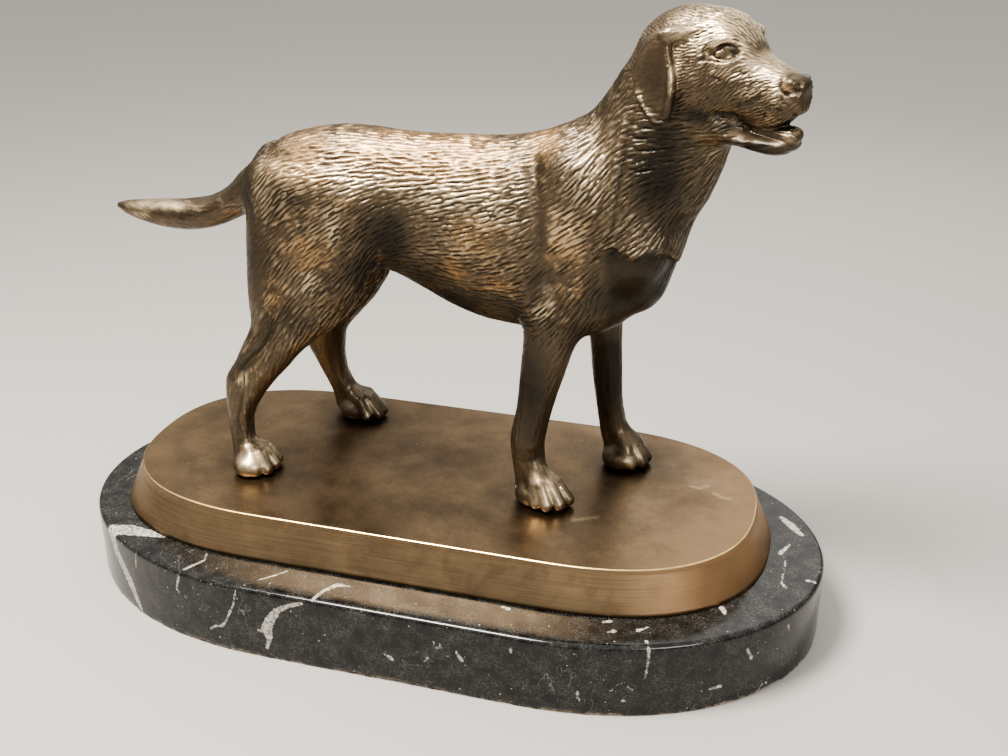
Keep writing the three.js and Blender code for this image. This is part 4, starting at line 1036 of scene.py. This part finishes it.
def coatAmount(p, normal):
    # How strongly the coat is cut at a place, from 0 to about 1.
    x, y, z = p.T
    amount = np.ones(len(p))
    # The lower legs have only a few strokes, and the paws none.
    fore = smoothStep(64, 50, z) * smoothStep(22, 27, x)
    hind = smoothStep(52, 38, z) * smoothStep(-20, -30, x) * smoothStep(-90, -80, x)
    amount *= 1 - 0.8 * np.maximum(fore, hind)
    amount *= smoothStep(8, 16, z)
    # Smooth places: the breast, the belly, the furrow, the top of the tail and the rear edge of the thigh.
    amount *= 1 - 0.94 * breastShare(p)
    amount *= 1 - 0.6 * smoothStep(-0.35, -0.8, normal[:, 2]) * (z > 40)
    amount *= 1 - 0.7 * np.exp(-((furrowDistance(p) / 2.2) ** 2)) * (np.abs(y) > 6)
    amount *= 1 - 0.9 * smoothStep(-76, -86, x) * smoothStep(77.4, 79.6, z)
    amount *= 1 - 0.65 * smoothStep(-54, -59, x) * smoothStep(46, 52, z) * smoothStep(100, 92, z)
    q = toHead(p)
    calm = 0.7 * smoothStep(4, 9, q[:, 0]) * smoothStep(-7, -3, q[:, 2])
    nose = smoothStep(16.0, 17.5, q[:, 0]) * smoothStep(-13, -11, q[:, 2])
    eye = np.exp(-(((q[:, 0] - 0.6) / 4.2) ** 2 + ((q[:, 2] + 0.2) / 2.9) ** 2))
    mouth = smoothStep(-20.6, -21.4, q[:, 2]) * smoothStep(2, 5, q[:, 0])
    smooth = np.clip(calm + nose + 1.3 * eye + mouth + 0.85 * onEar(p), 0, 1)
    return amount * (1 - headShare(p) * smooth)


def onEar(p):
    # 1 on the outer side and rim of the ears.
    return smoothStep(1.2, 0.4, earField(p)) * smoothStep(10.5, 11.5, np.abs(toHead(p)[:, 1]))


def sowStrokes(p, normal, lie, amount, rng):
    # Picks places for strokes at random, and keeps one where no kept stroke lies within its length and gap.
    spec = coatSpec
    order = rng.permutation(len(p))[:spec["tries"]]
    onHead = headShare(p[order])
    across = np.cross(normal[order], lie[order])
    chance = rng.random((len(order), 4))
    kept, grid = [], {}
    places = np.empty((len(order), 3))
    for k, i in enumerate(order):
        if amount[i] < chance[k, 0] * 0.85:
            continue
        head = onHead[k]
        length, apart = (a + (b - a) * head for a, b in (spec["length"], spec["apart"]))
        # Later strokes are shorter, to fill the gaps.
        length *= (0.75 + 0.5 * chance[k, 1]) * (1 if k < spec["fullLength"] else 0.6)
        place, way, up = p[i], lie[i], normal[i]
        key = tuple((place // spec["sowCell"]).astype(int))
        near = [j for a in (-1, 0, 1) for b in (-1, 0, 1) for c in (-1, 0, 1)
                for j in grid.get((key[0] + a, key[1] + b, key[2] + c), ())]
        if near:
            d = places[near] - place
            s = d @ way / (length * spec["apartAlong"])
            t = d @ across[k] / apart
            n = d @ up / 2.5
            if (s * s + t * t + n * n).min() < 1:
                continue
        grid.setdefault(key, []).append(len(kept))
        places[len(kept)] = place
        tilt = 0.08 * (chance[k, 2] * 2 - 1)
        way = way * math.cos(tilt) + across[k] * math.sin(tilt)
        kept.append((place, way, up, length, head, amount[i], chance[k, 3]))
    return kept


def pressStrokes(p, strokes):
    # Groove depth at every point: the deepest of depth * (1 - s^2)^0.7 * (1 - t^2)^2 over the strokes, with s
    # along a stroke and t across it, 1 at its end or edge. Also the height raised beside it.
    spec = coatSpec
    cell = spec["pressCell"]
    base = np.floor(p.min(0) / cell).astype(int) - 2
    size = np.floor(p.max(0) / cell).astype(int) - base + 4
    index = np.floor(p / cell).astype(int) - base
    flat = (index[:, 0] * size[1] + index[:, 1]) * size[2] + index[:, 2]
    order = np.argsort(flat, kind="stable")
    keys, starts = np.unique(flat[order], return_index=True)
    ends = np.append(starts[1:], len(flat))
    table = {int(k): (int(a), int(b)) for k, a, b in zip(keys, starts, ends)}
    groove = np.zeros(len(p))
    lift = np.zeros(len(p))
    for place, way, up, length, head, amount, chance in strokes:
        half = length / 2
        width, depth = (a + (b - a) * head for a, b in (spec["halfWidth"], spec["depth"]))
        width *= 0.8 + 0.4 * chance
        depth *= (0.3 + 0.7 * amount) * (0.65 + 0.7 * ((chance * 7.3) % 1))
        reach = np.abs(way) * half + 1.2
        low = np.floor((place - reach) / cell).astype(int) - base
        high = np.floor((place + reach) / cell).astype(int) - base
        found = []
        for a in range(low[0], high[0] + 1):
            for b in range(low[1], high[1] + 1):
                row = (a * size[1] + b) * size[2]
                for c in range(low[2], high[2] + 1):
                    span = table.get(row + c)
                    if span:
                        found.append(order[span[0]:span[1]])
        if not found:
            continue
        near = np.concatenate(found)
        d = p[near] - place
        s = d @ way / half
        # The stroke is bent a little, and one of its sides is steeper.
        t = (d @ np.cross(up, way) + (chance - 0.5) * 0.8 * s * s) / width
        close = (np.abs(s) < 1) & (np.abs(t) < 2.4) & (np.abs(d @ up) < 2.0)
        near, s, t = near[close], s[close], t[close]
        along = (1 - s * s) ** 0.7
        t = np.where(t > 0, t * 0.8, t * 1.25)
        groove[near] = np.maximum(groove[near], depth * along * np.clip(1 - t * t, 0, 1) ** 2)
        raised = 0.5 * depth * along * np.exp(-((np.abs(t) - 1.4) / 0.55) ** 2)
        lift[near] = np.maximum(lift[near], raised)
    return groove, lift


def bronzeMaterial():
    n = Nodes("patinatedBronze", Metallic=0.92, Coat_Weight=0.25, Coat_Roughness=0.25)
    place = n.place()
    groove, wearAndHighlight, gold, paintedShade = (n.attribute(name) for name in ("groove", "wearAndHighlight", "gold", "paintedShade"))
    clouds = n.noise(place, 0.045, 5, 0.6)
    spots = n.noise(place, 0.25, 5, 0.65)
    grain = n.noise(place, 1.8, 4, 0.65)
    brown = n.mix(n.spread(clouds, 0.35, 0.65), (0.068, 0.05, 0.032), (0.15, 0.11, 0.069))
    brown = n.mix(n.spread(grain, 0.5, 0.72, 0.0, 0.35), brown, (0.24, 0.19, 0.13))
    gold = n.spread(n.fray(gold, spots, 0.35), 0.35, 0.8, 0.0, 0.85)
    brown = n.mix(gold, brown, (0.33, 0.205, 0.1))
    # Painted shade: the belly, chest, throat, inner legs and other parts turned from the light are darkened,
    # and made a little rougher.
    paintedShade = n.spread(n.fray(paintedShade, clouds, 0.3), 0.2, 0.9)
    brown = n.mix(paintedShade, brown, (0.026, 0.021, 0.015))
    # Worn cream metal on the high points, together with painted highlights and glints on the ridges and on the
    # parts that face the light.
    wornAndHighlit = n.spread(n.fray(wearAndHighlight, spots, 0.15), 0.34, 0.95)
    wornAndHighlit = n.times(wornAndHighlit, n.spread(groove, 0.1, 0.5, 1.0, 0.0))
    colour = n.mix(wornAndHighlit, brown, (0.78, 0.62, 0.41))
    # Near black in the grooves: dark patina in the grooves of the strokes and marks, and painted shade deep in
    # the creases, such as between the toes, under the ears, in the eyes and in the mouth.
    colour = n.mix(n.spread(groove, 0.3, 1.0, 0.0, 0.8), colour, (0.02, 0.016, 0.011))
    n.out(colour, "Base Color")
    gloss = n.spread(spots, 0.3, 0.7, 0.32, 0.44)
    for part, share in ((groove, 0.25), (paintedShade, 0.16), (wornAndHighlit, -0.06)):
        gloss = n.plus(gloss, n.times(part, share))
    n.out(gloss, "Roughness")
    n.out(n.bump(grain, 0.03, 0.5, n.bump(n.noise(place, 5.0, 2), 0.012, 0.4)), "Normal")
    return n.material


patchSpec = {
    # Patches of colour: x, z, reach in x and z, strength. The gold patches are the patina's own tone; the next
    # are painted shade; the last are worn metal and painted highlight together.
    "gold": [
        (-4, 110, 34, 9, 1), (14, 88, 12, 8, 0.8), (6, 76, 8, 6, 0.8), (-44, 106, 14, 10, 0.9),
        (20, 74, 8, 5, 0.6), (-42, 78, 12, 9, 0.8), (42, 88, 9, 12, 0.7), (32, 116, 8, 6, 0.9),
        (-54, 62, 5, 9, 0.7), (-30, 96, 8, 5, 0.5), (44, 74, 7, 8, 0.5), (-45, 88, 10, 5, 0.5),
    ],
    "paintedShade": [
        (31.5, 104, 2.4, 9, 0.45), (34, 90, 2.6, 9, 0.45), (37, 77, 2.6, 7, 0.45), (68, 112, 9, 18, 1),
        (63, 70, 19, 14, 0.85), (-62, 74, 4, 17, 0.6), (-16, 82, 9, 12, 1), (8, 62, 30, 9, 1),
        (72, 96, 5, 6, 0.7), (32, 40, 8, 26, 0.9), (50, 34, 8, 24, 1), (-4, 72, 14, 8, 0.7),
        (-66, 94, 6, 9, 0.7), (33, 74, 4, 9, 0.6), (48, 58, 10, 10, 0.6), (-24, 72, 8, 8, 0.8),
        (-52, 30, 5, 14, 0.4), (-78, 80, 6, 4, 0.6),
    ],
    "wearAndHighlight": [
        (-33, 88, 4, 11, 0.95), (-42, 68, 5, 7, 0.85), (35, 67, 6, 5, 1), (-28, 102, 26, 8, 0.9),
        (2, 100, 24, 8, 1), (18, 98, 14, 10, 0.9), (47, 108, 10, 12, 0.9), (42, 92, 10, 11, 0.85),
        (-40, 84, 12, 12, 0.6), (8, 84, 16, 9, 0.6), (-62, 4, 9, 9, 1.3), (38, 5, 10, 9, 1.25),
        (60, 4, 7, 6, 1), (-41, 4, 7, 6, 0.8), (-66, 33, 5, 5, 0.9), (-104, 84, 18, 3, 1.3),
        (-112, 81, 9, 4, 1), (-58, 96, 9, 12, 0.9), (-57, 60, 3, 9, 0.6), (-52, 108, 8, 5, 0.6),
        (30, 20, 5, 8, 0.4), (66, 104, 5, 6, 0.3), (-48, 100, 12, 8, 0.8),
    ],
}
headPatchSpec = {
    # The same on the head: way forward, up, reach, strength.
    "gold": [
        (12, -12.5, 5, 3.5, 0.35), (-2, 8, 10, 3, 0.4), (19, -8, 2, 1.5, 0.8),
    ],
    "paintedShade": [
        (-8, -20, 9, 6, 0.9), (-17, -8, 4.5, 7, 0.55), (9, -26.4, 12, 3, 1.3), (0, -13, 6, 4, 0.4),
        (13, -24.4, 3.6, 2.4, 1.2), (2, -21, 4, 2, 0.8),
    ],
    "wearAndHighlight": [
        (-3, 6, 19, 8, 1.2), (12, -3, 9, 5, 1.2), (3, -5, 7, 4, 0.85), (17, -9, 5, 5, 1),
        (10, -10, 8, 4, 0.75), (-2, -17, 6, 4, 0.6), (14, -17, 6, 4, 0.6), (6.5, -24.4, 3.4, 0.8, 0.9),
        (19, -22, 3, 3, 1), (-10.6, -4, 1.4, 12, 0.9), (-18, 2, 6, 5, 0.7), (-14, -20, 3, 3, 0.9),
        (-21, -14, 4, 5, 0.5), (0, 3, 6, 2, 0.9),
    ],
}


def patches(p, name):
    q, head = toHead(p), headShare(p)
    body = patchField(p[:, 0], p[:, 2], patchSpec[name])
    return body * (1 - head) + patchField(q[:, 0], q[:, 2], headPatchSpec[name]) * head


def refineHead(piece, shift):
    # One more cut of the faces round the face and ears, for the finer modelling there.
    work = bmesh.new()
    work.from_mesh(piece.data)
    work.verts.ensure_lookup_table()
    p = pointsOf(piece.data) / mm - shift
    fine = (headShare(p) > 0.3) & (p[:, 0] > 60)
    edges = [e for e in work.edges if fine[e.verts[0].index] and fine[e.verts[1].index]]
    bmesh.ops.subdivide_edges(work, edges=edges, cuts=1, use_grid_fill=True)
    bmesh.ops.triangulate(work, faces=[f for f in work.faces if len(f.verts) > 4])
    work.to_mesh(piece.data)
    work.free()


def makeDog():
    spec = dogSpec
    low, high, size = boxSize(spec["node"])
    shift = np.array([0, spec["middle"], low[2]])
    rng = np.random.default_rng(coatSpec["seed"])
    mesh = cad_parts[spec["node"]].data.copy()
    work = bmesh.new()
    work.from_mesh(mesh)
    bmesh.ops.remove_doubles(work, verts=work.verts, dist=2e-6)
    work.to_mesh(mesh)
    work.free()
    piece = bpy.data.objects.new("dog_bronze", mesh)
    scene.collection.objects.link(piece)
    remesh = piece.modifiers.new("evenFaces", "REMESH")
    remesh.mode = "VOXEL"
    remesh.voxel_size = spec["voxel"] * mm * 1
    finer = piece.modifiers.new("finer", "SUBSURF")
    finer.subdivision_type = "SIMPLE"
    finer.levels = finer.render_levels = 1
    applyModifiers(piece)
    refineHead(piece, shift)
    mesh = piece.data
    p = pointsOf(mesh) / mm - shift
    print("dog: fine surface of", len(p), "points")
    p = settle(dogField, p, 3)
    print("dog: settled on its forms")
    slope = slopeOf(dogField, p, dogField(p))
    steep = np.maximum(np.linalg.norm(slope, axis=1), 1e-9)
    normal = slope / steep[:, None]
    # In a crease the field grows slowly outwards: 0 on open surface, near 1 deep in a crease.
    crease = 1 - dogField(p + spec["probe"] * normal) / (spec["probe"] * steep)
    lie = lieOfHair(p, normal)
    amount = coatAmount(p, normal)
    strokes = sowStrokes(p, normal, lie, amount, rng)
    print("dog:", len(strokes), "strokes sown")
    groove, lift = pressStrokes(p, strokes)
    press = pressMarks(p)
    p = p + normal * (lift - groove - press)[:, None]
    p[:, 2] = np.maximum(p[:, 2], 0)
    mesh.vertices.foreach_set("co", ((p + shift) * mm).astype(np.float32).ravel())
    coat = coatSpec
    deep = np.maximum(groove / coat["fullGroove"], press / coat["fullMark"])
    # The groove colour: dark patina in the grooves of strokes and marks, and painted shade in the deep
    # creases.
    storeAttribute(mesh, "groove", np.clip(np.maximum(deep, smoothStep(0.4, 0.9, crease)), 0, 1))
    raised = np.maximum(lift / coat["fullLift"], -press / coat["fullRidge"])
    storeAttribute(mesh, "ridge", np.clip(raised, 0, 1))
    mesh.update()
    print("dog: strokes and marks pressed")
    # The faces here are quads, so each counts as two triangles.
    thin = piece.modifiers.new("thin", "DECIMATE")
    thin.ratio = min(1, spec["triangles"] / (2 * len(mesh.polygons)))
    applyModifiers(piece)
    mesh = piece.data
    mesh.shade_smooth()
    p = pointsOf(mesh) / mm - shift
    ridge = np.empty(len(p), np.float32)
    mesh.attributes["ridge"].data.foreach_get("value", ridge)
    # The coat is lighter along its edge over the breast, with painted glints there, on its patches of worn
    # metal and painted highlight, and a little everywhere as painted glints, most of all on the raised sides
    # of the strokes.
    ledge = np.exp(-(((p[:, 2] - ledgeHeight(p) - 0.8) / 1.5) ** 2))
    ledge *= smoothStep(50, 54, p[:, 0]) * (np.abs(p[:, 1]) > 3)
    paintedShade = patches(p, "paintedShade")
    wearAndHighlight = np.maximum(np.maximum(patches(p, "wearAndHighlight"), 0.45), 0.6 * ledge)
    storeAttribute(mesh, "gold", patches(p, "gold"))
    # Painted shade, also over the breast under the ledge.
    storeAttribute(mesh, "paintedShade", np.maximum(paintedShade, 0.8 * breastShare(p)))
    storeAttribute(mesh, "wearAndHighlight", (0.5 + 0.5 * ridge) * wearAndHighlight * (1 - 0.7 * np.minimum(paintedShade, 1)))
    mesh.materials.clear()
    mesh.materials.append(bronzeMaterial())
    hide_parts(spec["node"])
    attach(piece, "root")
    print("dog:", len(mesh.polygons), "faces")


def addFloor():
    half = 1.6
    mesh = bpy.data.meshes.new("paleFloor")
    corners = [(-half, -half, 0), (half, -half, 0), (half, half, 0), (-half, half, 0)]
    mesh.from_pydata(corners, [], [(0, 1, 2, 3)])
    n = Nodes("paleFloor", Roughness=0.6)
    n.shader.inputs["Base Color"].default_value = (*studio["floorColour"], 1)
    mesh.materials.append(n.material)
    floor = bpy.data.objects.new("paleFloor", mesh)
    scene.collection.objects.link(floor)


addCamera()
addLamps()
addFloor()
makePlinth()
makePlate()
makeDog()
